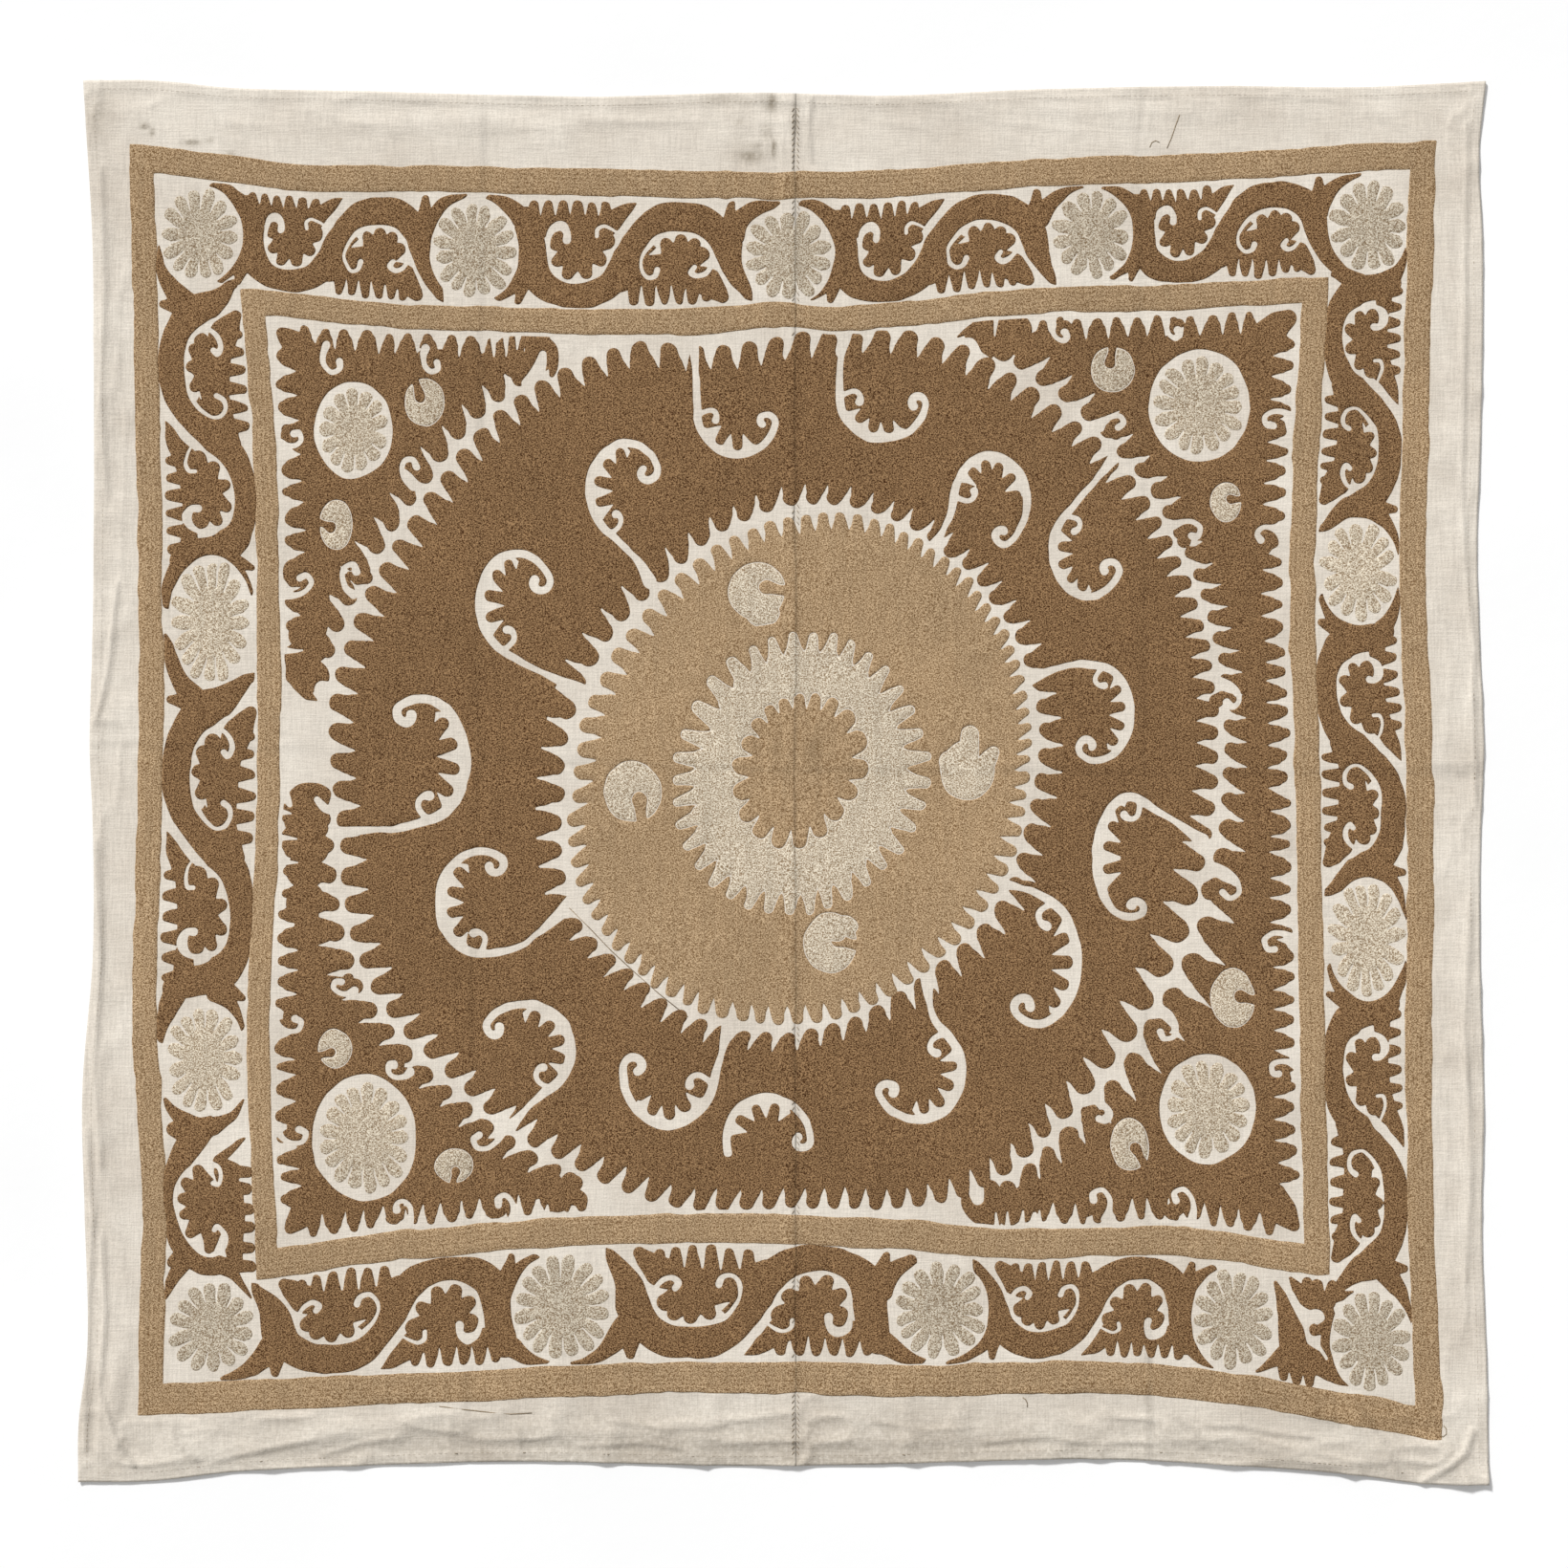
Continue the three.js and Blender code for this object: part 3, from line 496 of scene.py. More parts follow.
def spans(rows):
    """The window and depth of each straight span of a tapered stroke, from rows of (x, y, half-width)."""
    rows = np.array(rows, float)
    for start, end in zip(rows[:-1], rows[1:]):
        reach = max(start[2], end[2]) + NEAR
        place = window(np.minimum(start, end)[:2] - reach, np.maximum(start, end)[:2] + reach)
        dx = AXIS[place[1]][None, :] - start[0]
        dy = AXIS[place[0]][:, None] - start[1]
        run = end - start
        along = np.clip((dx * run[0] + dy * run[1]) / max(run[0] ** 2 + run[1] ** 2, TINY), 0, 1)
        yield place, start[2] + run[2] * along - np.hypot(dx - along * run[0], dy - along * run[1])


def sew(layer, rows):
    """Adds a tapered stroke of yarn to a layer."""
    for place, depth in spans(rows):
        layer[place] = np.maximum(layer[place], depth)


def bare(layer, rows):
    """Takes a tapered stroke out of a layer."""
    for place, depth in spans(rows):
        layer[place] = np.minimum(layer[place], -depth)


def blended(table, row, column, row_share, column_share):
    """A table's value between four neighbouring entries."""
    low = table[row, column] * (1 - column_share) + table[row, column + 1] * column_share
    high = table[row + 1, column] * (1 - column_share) + table[row + 1, column + 1] * column_share
    return low * (1 - row_share) + high * row_share


def eased(share):
    """A share from 0 to 1 that starts and ends gently."""
    return share * share * (3 - 2 * share)


def sampled(raster, x, y):
    """The raster's value at any place, between its points."""
    across = np.clip((x + HALF) / STEP, 0, LAST)
    up = np.clip((y + HALF) / STEP, 0, LAST)
    column, row = across.astype(int), up.astype(int)
    return blended(raster, row, column, up - row, across - column)


def ellipse_depth(x, y, rx, ry):
    """The window of an ellipse and its depth there, nearly exact close to its edge."""
    place = window((x - rx - NEAR, y - ry - NEAR), (x + rx + NEAR, y + ry + NEAR))
    dx = (AXIS[place[1]][None, :] - x) / rx
    dy = (AXIS[place[0]][:, None] - y) / ry
    share = np.hypot(dx, dy) + TINY
    return place, (1 - share) * share / np.hypot(dx / rx, dy / ry).clip(TINY)


def band_side(band, widths, name, share):
    """One side of a band as a curve, moved out by a share of the band's width."""
    curve = through(band[name])
    shift = SIDES[name][1] * share * widths[name]
    return lambda at: curve(at) + shift


def inside_band(band, widths, share):
    """The depth of each place inside a band's loop, moved out by a share of the band's width."""
    depth = np.full((SIDE, SIDE), np.inf)
    for name, (level, sign) in SIDES.items():
        edge = band_side(band, widths, name, share)
        beyond = edge(ACROSS) - UP if level else edge(UP) - ACROSS
        depth = np.minimum(depth, sign * beyond)
    return depth


def tip_turns(ring, pitches, first, last):
    """Turns where the tips of a ring part, from one turn to another, by the local pitch."""
    pitch = all_round(pitches)
    turns = [first]
    while turns[-1] < last:
        turns.append(turns[-1] + np.degrees(pitch(turns[-1]) / ring(turns[-1])))
    return first + (np.array(turns) - first) * (last - first) / (turns[-1] - first)


def round_heart(turn, reach):
    """The place at a turn about the heart and a distance from it."""
    angle = np.radians(turn)
    return HEART_X + reach * np.cos(angle), HEART_Y + reach * np.sin(angle)


def ring_tips(layer, ring, turns, tips, inward=False):
    """Leaf-shaped tips along a ring, between given turns, each as a tapered stroke with a round end."""
    ratio, sharp, lean = tips
    middles = (turns[:-1] + turns[1:]) / 2
    pitches = np.radians(np.diff(turns)) * ring(middles)
    sign = -1 if inward else 1
    shoulder, width, growth = TIP_SHOULDER
    outline = [*TIP_ROWS, (shoulder, growth * sharp + width)]
    for turn, pitch in zip(middles, pitches):
        end = sharp * pitch * rng.uniform(*END_UNEVEN)
        tip = ring(turn) + sign * rng.uniform(*REACH_UNEVEN)
        length = ratio * pitch * rng.uniform(*LENGTH_UNEVEN)
        rows = []
        for share, radius in outline:
            rows.append((*round_heart(turn + share * lean, tip - sign * share * length), radius * pitch))
        rows.append((*round_heart(turn, tip - sign * end), end))
        sew(layer, rows)


def full_ring(layer, ring, pitches, tips, inward=False):
    """Tips all the way round a ring."""
    ring_tips(layer, ring, tip_turns(ring, pitches, 0.0, 360.0), tips, inward)


def disc(ring, pitches, tips):
    """Depth of each place in the body of a ring, inside its tips."""
    return ring(TURN) - tips[0] * all_round(pitches)(TURN) - TIP_OVERLAP - REACH


def turning(start, heading, turns):
    """Points of a line from a place and heading that bends by (degrees, radius) in each stretch."""
    points = [np.array(start, float)]
    for bend, radius in turns:
        count = max(FEWEST_STEPS, int(abs(bend) / BEND_STEP))
        for _ in range(count):
            heading += np.radians(bend) / count
            step = abs(np.radians(bend)) / count * radius
            points.append(points[-1] + step * np.array([np.cos(heading), np.sin(heading)]))
    return np.array(points)


def curl(layer, x, y, half_x, half_y, back, hand, to_stem, to_hook, radius, ring_end):
    """A curled line of bare cloth with a row of yarn fingers inside it and a hook at its end. Where it
    reaches a ring, it has a stem and a second hook beside the stem."""
    size = np.sqrt(half_x * half_y) / CURL_SIZE

    def around(turn, inset):
        angle = np.radians(turn)
        return np.stack([x + (half_x - inset) * np.cos(angle), y + (half_y - inset) * np.sin(angle)], -1)

    turns = np.linspace(back + hand * to_stem, back - hand * to_hook, CURL_POINTS)
    widths = size * np.interp(np.linspace(0, 1, CURL_POINTS), *np.array(CURL_LINE).T)
    line = np.stack([around(turn, width) for turn, width in zip(turns, widths)])
    bare(layer, [(*point, HOLLOW[0] * size) for point in around(turns[HOLLOW_SPAN], HOLLOW[1] * size)])
    first_turn = back + hand * (to_stem - FINGER_FREE[0])
    last_turn = back - hand * (to_hook - FINGER_FREE[1])
    finger_turns = np.linspace(first_turn, last_turn, FINGER_POINTS)
    path = around(finger_turns, FINGER_INSET * size)
    length = np.hypot(*np.diff(path, axis=0).T).sum()
    count = max(FEWEST_FINGERS, int(round(length / (FINGER_PITCH * size ** 0.5))) + 1)
    for share in np.linspace(0, 1, count):
        turn = np.interp(share, np.linspace(0, 1, FINGER_POINTS), finger_turns)
        inset = FINGER_TIP[0] - FINGER_TIP[1] * abs(2 * share - 1)
        inset = (inset + rng.uniform(-FINGER_UNEVEN, FINGER_UNEVEN)) * size
        end = FINGER_END * size * rng.uniform(*ROUND_UNEVEN)
        middle = (*around(turn, FINGER_MIDDLE[0] * size), FINGER_MIDDLE[1] * size)
        sew(layer, [(x, y, FINGER_ROOT * size), middle, (*around(turn, inset), end)])
    heading = np.arctan2(*(line[-1] - line[-2])[::-1])
    main = turning(line[-1], heading, [(-hand * bend, radius * share) for bend, share in CURL_HOOK])
    main_widths = np.linspace(widths[-1], CURL_END * size, len(main))
    bare(layer, np.column_stack([np.vstack([line, main[1:]]), np.append(widths, main_widths[1:])]))
    if ring_end is None:
        return
    leaving = line[0] - line[1]
    bends = [(hand * bend, reach * size) for bend, reach in SECOND_HOOK]
    second = turning(line[1], np.arctan2(*leaving[::-1]), bends)
    second_widths = np.interp(np.linspace(0, 1, len(second)), *np.array(SECOND_LINE).T)
    bare(layer, np.column_stack([second, second_widths * size]))
    run = np.hypot(*(ring_end - line[0]))
    knee = line[0] + leaving / np.hypot(*leaving) * STEM_BEND * run
    along = np.linspace(0, 1, STEM_POINTS)[:, None]
    stem = (1 - along) ** 2 * line[0] + 2 * along * (1 - along) * knee + along ** 2 * np.array(ring_end)
    stem_widths = np.interp(along[:, 0], *np.array([(0, widths[0]), *STEM_LINE]).T)
    bare(layer, np.column_stack([stem, stem_widths]))


def hook(layer, x, y, heading, size, hand):
    """A small curled hook of bare cloth round the end of a curled finger of yarn."""
    turn = np.radians(heading)
    ahead = np.array([np.cos(turn), np.sin(turn)])
    aside = hand * np.array([-np.sin(turn), np.cos(turn)])
    root = np.array([x, y])

    def placed(rows, scale):
        return [(*(root + size * (on * ahead + off * aside)), scale * width) for on, off, width in rows]

    sew(layer, placed(HOOK_FINGER, size))
    bare(layer, smooth(placed(HOOK, 1.0)))


def side_tips(layer, name, first, last, pitch):
    """Pointed fingers along a stretch of the inner band's inside, towards the band."""
    edge = band_side(INNER_BAND, INNER_WIDTH, name, -0.5)
    level, sign = SIDES[name]
    count = int(round((last - first) / pitch))
    cuts = np.linspace(first, last, count + 1)
    cuts[1:-1] += rng.uniform(-SIDE_CUT, SIDE_CUT, count - 1) * pitch
    for low, high in zip(cuts[:-1], cuts[1:]):
        at = (low + high) / 2
        width = high - low
        lean = rng.uniform(-SIDE_LEAN, SIDE_LEAN) * width
        reach = edge(at) - sign * (SIDE_GAP + rng.uniform(*SIDE_UNEVEN))
        rows = []
        for depth, share in (*SIDE_ROWS, (SIDE_SHARP * width / SIDE_LENGTH, SIDE_SHARP)):
            slide = at + lean * (1 - depth)
            far = reach - sign * depth * SIDE_LENGTH
            place = (slide, far) if level else (far, slide)
            rows.append((*place, share * width))
        sew(layer, rows)


def comma(layer, x, y, rx, ry, bite):
    """A filled comma: a bean with a bite out of it that leaves a hooked lip."""
    place, depth = ellipse_depth(x, y, rx, ry)
    layer[place] = np.maximum(layer[place], depth)
    turn = np.radians(bite)
    ahead = np.array([rx * np.cos(turn), ry * np.sin(turn)])
    aside = np.array([-rx * np.sin(turn), ry * np.cos(turn)])
    size = np.sqrt(rx * ry)
    rows = [(*(np.array([x, y]) + on * ahead + off * aside), width * size) for on, off, width in BITE]
    bare(layer, smooth(rows))


def rosette(layer, x, y, rx, ry, mean_reach):
    """A rosette of tapered petals that part only near their ends."""
    middle = np.array([x, y])
    size = np.sqrt(rx * ry)
    rim = 2 * np.pi * size * PETAL_PART
    count = int(round(rim / PETAL_WIDTH))
    petal = rim / count
    start = rng.uniform(0, 2 * np.pi)
    turns = start + 2 * np.pi * (np.arange(count) + rng.uniform(-PETAL_TURN, PETAL_TURN, count)) / count
    axes = np.stack([rx * np.cos(turns), ry * np.sin(turns)], 1)
    for axis in axes:
        end = petal * rng.uniform(*PETAL_END)
        tip = mean_reach + rng.uniform(*PETAL_UNEVEN) - end / size
        rows = [*((share, width * petal) for share, width in PETAL_ROWS), (tip, end)]
        sew(layer, [(*(middle + share * axis), width) for share, width in rows])
    for between in (axes + np.roll(axes, -1, axis=0)) / 2:
        bare(layer, [(*(middle + share * between), width) for share, width in PETAL_GROOVE])


def scroll_map(first, second, name):
    """Places of the scroll's chart between two neighbouring rosettes of one side of the border."""
    level, sign = SIDES[name]
    outer = band_side(OUTER_BAND, OUTER_WIDTH, name, -0.5)
    inner = band_side(INNER_BAND, INNER_WIDTH, name, 0.5)
    start, end = (first[0], second[0]) if level else (first[1], second[1])
    middle = (start + end) / 2
    height = abs(outer(middle) - inner(middle))
    scale = np.sqrt(abs(end - start) / SCROLL_LENGTH * height / (2 * SCROLL_HALF))

    def place(along, out, width=0.0):
        at = start + (end - start) * along / SCROLL_LENGTH
        reach = (outer(at) + inner(at)) / 2 + out / SCROLL_HALF * (outer(at) - inner(at)) / 2
        return (at, reach, width * scale) if level else (reach, at, width * scale)

    return place


def leafy(layer, place, yarn, lines, fingers, hooks):
    """A leaf drawn from charts: yarn strokes, bare lines over them, fingers over those, then hooks."""
    for path in yarn:
        sew(layer, smooth([place(*row) for row in path]))
    for path in lines:
        bare(layer, smooth([place(*row) for row in path]))
    for heart, tips in fingers:
        for tip in tips:
            sew(layer, [place(*heart), place(*tip)])
    for path in hooks:
        bare(layer, smooth([place(*row) for row in path]))


def scroll(layer, first, second, name):
    """A leafy scroll between two rosettes: a wavy trunk and two leaves, each curled round a bare line."""
    place = scroll_map(first, second, name)
    scallops = []
    for along, out in SCALLOPS:
        reach = out + rng.uniform(-SCALLOP_UNEVEN, SCALLOP_UNEVEN)
        end = (along, reach, SCALLOP_END * rng.uniform(*ROUND_UNEVEN))
        stem = [(along, np.copysign(root, out), half) for root, half in (SCALLOP_ROOT, SCALLOP_MIDDLE)]
        scallops.append([*stem, end])
    hooks = SCROLL_HOOKS + [line[LINE_TAIL:] for line in SCROLL_LINES]
    leafy(layer, place, SCROLL_YARN + scallops, SCROLL_LINES + SCROLL_BELLIES, SCROLL_FINGERS, hooks)


def corner_leaves(layer):
    """The two single leaves that fill the short ends of the border."""
    length, root, end = HALF_SCALLOP
    scallops = [[(x - length, y, root), (x, y, end)] for x, y in HALF_SCALLOPS]
    half_hooks = [HALF_LINE[HALF_TAIL:], HALF_HOOK]
    half_fingers = [(HALF_HEART, HALF_FINGERS)]
    short_fingers = [(SHORT_LOBE[0], SHORT_LOBE[1:])]
    for (x, y), yarn, lines, fingers, hooks in (
        (HALF_PLACE, HALF_YARN + scallops, [HALF_LINE, HALF_BELLY], half_fingers, half_hooks),
        (SHORT_PLACE, SHORT_YARN, [SHORT_LINE], short_fingers, [SHORT_HOOK]),
    ):
        leafy(layer, lambda on, up, width: (x + on, y + up, width), yarn, lines, fingers, hooks)


def scroll_rows():
    """Neighbouring rosettes of the border's four sides, clockwise as the scrolls run."""
    rows = {
        "top": TOP_ROSETTES,
        "right": [TOP_ROSETTES[-1], *RIGHT_ROSETTES, BOTTOM_ROSETTES[-1]],
        "bottom": BOTTOM_ROSETTES[-2::-1],
        "left": [*LEFT_ROSETTES[::-1], TOP_ROSETTES[0]],
    }
    return [(first, second, name) for name, row in rows.items() for first, second in zip(row, row[1:])]


def wavering(reach, size):
    """A smooth random shift over the raster, from a coarse net of random values."""
    count = int(2 * HALF / size) + 3
    knots = rng.normal(0, 1, (count, count))
    at = (AXIS + HALF) / size
    cell = at.astype(int)
    share = eased(at - cell)
    return reach * blended(knots.T, cell[None, :], cell[:, None], share[None, :], share[:, None])


def hand_drawn(layers):
    """The layers moved about a little, as lines drawn and sewn by hand are."""
    shift_x = sum(wavering(*row) for row in WAVER)
    shift_y = sum(wavering(*row) for row in WAVER)
    return [sampled(layer, ACROSS + shift_x, UP + shift_y).astype(np.float32) for layer in layers]


def corner_fields(layer, within):
    """The corner fields between the rim and the inner band, from each place's depth within that band."""
    rim = all_round(RIM)
    tip_lengths = RIM_TIPS[0] * all_round(RIM_PITCH)(TURN)

    def facing(turn):
        return rim(turn) + FIELD_GAP

    for corner in CORNERS:
        first, last = corner["turns"]
        across = np.mod(TURN - first, 360.0)
        ends = np.radians(np.minimum(across, (last - first) - across)) * REACH
        from_rim = REACH - facing(TURN) - tip_lengths - FIELD_OVERLAP
        body = np.minimum(within - SIDE_LENGTH - SIDE_GAP - SIDE_OVERLAP, from_rim)
        layer[:] = np.maximum(layer, clipped(np.minimum(body, ends)))
        ring_tips(layer, facing, tip_turns(facing, RIM_PITCH, first, last), FIELD_TIPS, inward=True)
        for run in corner["runs"]:
            side_tips(layer, *run)
    for rows in FIELD_CORNERS + LEG_ENDS:
        sew(layer, smooth(rows))
    for rows in LEG_DROPS:
        bare(layer, smooth(rows))
    for mouth_x, mouth_y, end_x, end_y, half in LEG_NOTCHES:
        bare(layer, [(mouth_x, mouth_y, half), (end_x, end_y, NOTCH_END)])
    for row in HOOKS:
        hook(layer, *row)
    layer[:] = np.minimum(layer, clipped(within - BAND_CLEAR))


def dark_field(within):
    """The medallion's dark field between its rim and its eye, with the curls."""
    rim, eye = all_round(RIM), all_round(EYE)
    field = blank()
    from_eye = REACH - eye(TURN) - EYE_TIPS[0] * all_round(EYE_PITCH)(TURN) - TIP_OVERLAP
    field[:] = clipped(np.minimum(disc(rim, RIM_PITCH, RIM_TIPS), from_eye))
    full_ring(field, rim, RIM_PITCH, RIM_TIPS)
    full_ring(field, eye, EYE_PITCH, EYE_TIPS, inward=True)
    for row in CURLS:
        curl(field, *row)
    return np.minimum(field, clipped(within - FIELD_CLEAR))


def sun_and_core(tan, cream):
    """The sun, the petals and commas on it, and the core."""
    sun, petals, core = all_round(SUN), all_round(PETALS), all_round(CORE)
    tan[:] = clipped(disc(sun, SUN_PITCH, SUN_TIPS))
    full_ring(tan, sun, SUN_PITCH, SUN_TIPS)
    cream[:] = clipped(disc(petals, PETAL_PITCH, PETAL_TIPS))
    full_ring(cream, petals, PETAL_PITCH, PETAL_TIPS)
    for row in SUN_COMMAS:
        comma(cream, *row)
    for rows in COMMA_LOBES:
        sew(cream, smooth(rows))
    tan[:] = np.minimum(tan, -cream - YARN_CLEAR)
    heart = clipped(core(TURN) - CORE_DEPTH - REACH).astype(np.float32)
    edges = (np.array(CORE_TURNS) + np.roll(CORE_TURNS, -1)) / 2.0
    edges[-1] += 180.0
    ring_tips(heart, core, np.append(edges, edges[0] + 360.0), CORE_TIPS)
    cream[:] = np.minimum(cream, -heart - YARN_CLEAR)
    tan[:] = np.maximum(tan, heart)


def bands(layer):
    """The plain bands, and each place's distance across them."""
    across_band = np.full((SIDE, SIDE), NO_BAND, np.float32)
    for band, widths in ((OUTER_BAND, OUTER_WIDTH), (INNER_BAND, INNER_WIDTH)):
        loop = np.minimum(inside_band(band, widths, 0.5), -inside_band(band, widths, -0.5))
        layer[:] = np.maximum(layer, clipped(loop))
        middle = inside_band(band, widths, 0.0)
        across_band = np.where(abs(middle) < BAND_REACH, middle, across_band)
    return across_band


def border(brown, cream):
    """The border's scrolls and leaves, and the rosettes and commas of the border and the corner fields."""
    for first, second, name in scroll_rows():
        scroll(brown, first, second, name)
    corner_leaves(brown)
    border_rosettes = [*TOP_ROSETTES, *BOTTOM_ROSETTES, *LEFT_ROSETTES, *RIGHT_ROSETTES]
    for rows, mean_reach in ((border_rosettes, BORDER_REACH), (CORNER_ROSETTES, CORNER_REACH)):
        for x, y, rx, ry in rows:
            place, depth = ellipse_depth(x, y, rx, ry)
            brown[place] = np.minimum(brown[place], -depth)
            rosette(cream, x, y, rx - HALO, ry - HALO, mean_reach)
    for row in CORNER_COMMAS:
        comma(cream, *row)
    brown[:] = np.minimum(brown, -cream - YARN_CLEAR)


def draw():
    """The three yarn colours as depth rasters, and the distance across the bands."""
    brown, tan, cream = blank(), blank(), blank()
    within = inside_band(INNER_BAND, INNER_WIDTH, -0.5)
    corner_fields(brown, within)
    brown[:] = np.maximum(brown, dark_field(within))
    sun_and_core(tan, cream)
    across_band = bands(tan)
    border(brown, cream)
    return hand_drawn((brown, tan, cream, across_band))


# Ground cloth, in millimetres: the edge of each side as (place along the side, distance from the middle)
CLOTH_EDGE = {
    "top": [
        (-732, 734), (-660, 734), (-590, 727), (-450, 723), (-310, 719), (-205, 717), (-30, 721), (110, 718),
        (250, 724), (460, 728), (600, 727), (734, 733),
    ],
    "right": [
        (-734, 737), (-606, 735), (-466, 730), (-330, 732), (-186, 728), (-46, 729), (24, 732), (163, 727),
        (234, 725), (374, 729), (584, 730), (654, 727), (733, 734),
    ],
    "bottom": [
        (-737, -731), (-660, -730), (-590, -722), (-415, -713), (-310, -710), (-30, -714), (75, -713),
        (180, -710), (320, -707), (460, -713), (600, -724), (670, -733), (737, -734),
    ],
    "left": [
        (-731, -737), (-676, -737), (-606, -728), (-466, -730), (-326, -733), (-186, -722), (-46, -722),
        (24, -725), (163, -722), (444, -721), (584, -723), (654, -727), (734, -732),
    ],
}
EDGE_CURVES = {name: through(rows) for name, rows in CLOTH_EDGE.items()}
CLOTH_LENGTH = 1468.0
GROUND = 1.2
HEM_WIDTH = 11.0
HEM_RISE = 0.7
HEM_SLOPE = 2.0

# Seam: its line, the gaps in the cloth and beside the yarn, its wobble, and the step of its folded edge as
# (distance, rise). Then the panels' net: its fine stretches at the seam and the edges, and its pitches.
SEAM_X = 12.5
SEAM_GAP = 0.04
YARN_GAP = 0.04
SEAM_WOBBLE = 1.1
SEAM_WOBBLE_PITCH = 55.0
SEAM_STEP = [(0.0, 0.0), (0.9, 0.6), (15.0, 0.5), (18.0, 0.0)]
SEAM_MARGIN = 25.0
MARGIN = 80.0
MARGIN_LINE = 2.5
FIELD_LINE = 7.0

# Ripples of the bare margin: middle, heading in degrees, length, width and rise
FOLDS = [
    (-708, 470, 91, 420, 10, 1.7), (-712, -330, 93, 320, 11, 1.8), (-700, -640, 80, 130, 10, 2.6),
    (-520, -690, 8, 260, 11, 3.0), (-180, -680, -2, 330, 10, 2.2), (170, -684, 3, 280, 10, 2.2),
    (520, -700, -10, 210, 12, 2.6), (690, -708, -52, 110, 13, 4.2), (714, -350, 91, 380, 9, 1.8),
    (-330, 690, 1, 360, 10, 1.4), (330, 704, -1, 420, 10, 1.4),
]
FOLD_FADE = (42.0, 58.0)

# Pressed folds of the margin: rise, half-width and the places that each passes through
FOLD_LINES = [
    (2.4, 3.0, [(-695, 208), (-698, 187), (-703, 133), (-712, 86), (-721, 58)]),
    (1.1, 2.4, [(-718, 62), (-678, 57)]),
    (2.2, 3.2, [(-727, -362), (-721, -458), (-727, -574), (-729, -696)]),
    (2.4, 3.2, [(-711, -478), (-708, -555), (-714, -632), (-695, -690), (-679, -712)]),
    (1.6, 3.0, [(-718, -62), (-713, -182), (-719, -302), (-712, -402)]),
    (1.4, 2.8, [(-712, 640), (-708, 520), (-713, 400), (-706, 300)]),
    (2.0, 2.8, [
        (715, 688), (713, 518), (710, 318), (712, 258), (716, 199), (723, 145), (721, 91), (724, -18),
    ]),
    (1.5, 2.8, [(718, -120), (713, -260), (719, -400), (714, -520)]),
    (1.0, 2.4, [(676, 17), (725, 17)]),
    (1.0, 2.4, [(675, 7), (690, 5), (707, 9), (725, 7)]),
    (2.6, 3.0, [(606, -655), (629, -690), (646, -726)]),
    (3.0, 4.2, [(721, -678), (713, -701), (693, -716), (669, -730)]),
    (1.5, 2.6, [(382, -600), (383, -712)]),
    (1.8, 2.6, [(444, -672), (479, -673), (508, -680), (554, -685)]),
    (1.6, 2.4, [(485, -684), (531, -697)]),
    (1.5, 2.4, [(519, -661), (577, -669)]),
    (1.7, 2.4, [(404, -661), (430, -678), (438, -695)]),
    (1.7, 2.6, [(554, -701), (589, -710), (629, -713)]),
    (1.8, 2.8, [(-592, -709), (-547, -698), (-489, -686)]),
    (1.8, 2.6, [(-631, -664), (-637, -690), (-611, -709)]),
    (1.7, 2.6, [(-482, -704), (-437, -689), (-411, -684)]),
    (1.5, 2.4, [(-411, -664), (-373, -677), (-344, -679)]),
    (1.6, 2.4, [(-347, -655), (-341, -706)]),
    (1.4, 2.4, [(-276, -672), (-271, -704)]),
    (1.5, 2.4, [(-180, -668), (-120, -676), (-60, -672)]),
    (1.5, 2.4, [(-210, -694), (-150, -690), (-110, -696)]),
    (1.4, 2.4, [(90, -668), (150, -678), (196, -674)]),
    (1.5, 2.4, [(210, -690), (270, -684), (330, -692)]),
    (1.3, 2.6, [(30, 716), (27, 690), (31, 648)]),
]

# Creases from keeping the cloth folded in four, pressed into the whole cloth
CREASES = [
    [(383, -734), (372, 734)],
    [(-332, -734), (-312, 734)],
    [(-734, 42), (0, 12), (734, 10)],
]
CREASE_HALF = 3.2

# Crumpled margins: rise, reach in from the edge, stretch along the edge and pitch of the ridges
CRUMPLES = {
    "bottom": (2.8, 92.0, 2.0, 26.0),
    "top": (1.0, 70.0, 2.4, 26.0),
    "side": (1.3, 70.0, 2.8, 22.0),
}
CRUMPLE_FADE = 45.0
CRUMPLE_FINE = 0.4
BROAD_SHARP = 3
FINE_SHARP = 2
FINE_SKEW = 3

# Puckers of the whole cloth, of the seam and of the heart: rise, pitch, stretch and reach
PUCKER = 0.45
PUCKER_PITCH = 24.0
PUCKER_PRESSED = 0.9
SEAM_PUCKER = 0.4
SEAM_PUCKER_PITCH = 9.0
SEAM_PUCKER_STRETCH = 4
SEAM_PUCKER_REACH = 12.0
HEART_PUCKER = 1.8
HEART_PUCKER_PITCH = 8.0
HEART_PUCKER_STRETCH = 5
HEART_PUCKER_REACH = 80.0

# Painted shade, with some dirt in the creases: strength and half-width in the folds and along the seam,
# strength in the creases, and how it grows on the heart's folds above an unshaded share
FOLD_SHADE = 1.0
FOLD_SHADE_HALF = 2.2
SEAM_SHADE = 0.9
SEAM_SHADE_HALF = 2.4
CREASE_SHADE_AND_DIRT = 0.6
HEART_SHADE = 3.0
HEART_UNSHADED = 0.58

# Noise: entries along a side of its table, the shift that keeps its places positive, and a seed for each use
NOISE_ENTRIES = 512
NOISE_SHIFT = 100.0
SEEDS = {"pucker": 4, "gathers": 5, "heart": 6, "relief": 8, "seam": 9, "bottom": 11, "top": 12, "side": 13}
FINE_SEED = 10
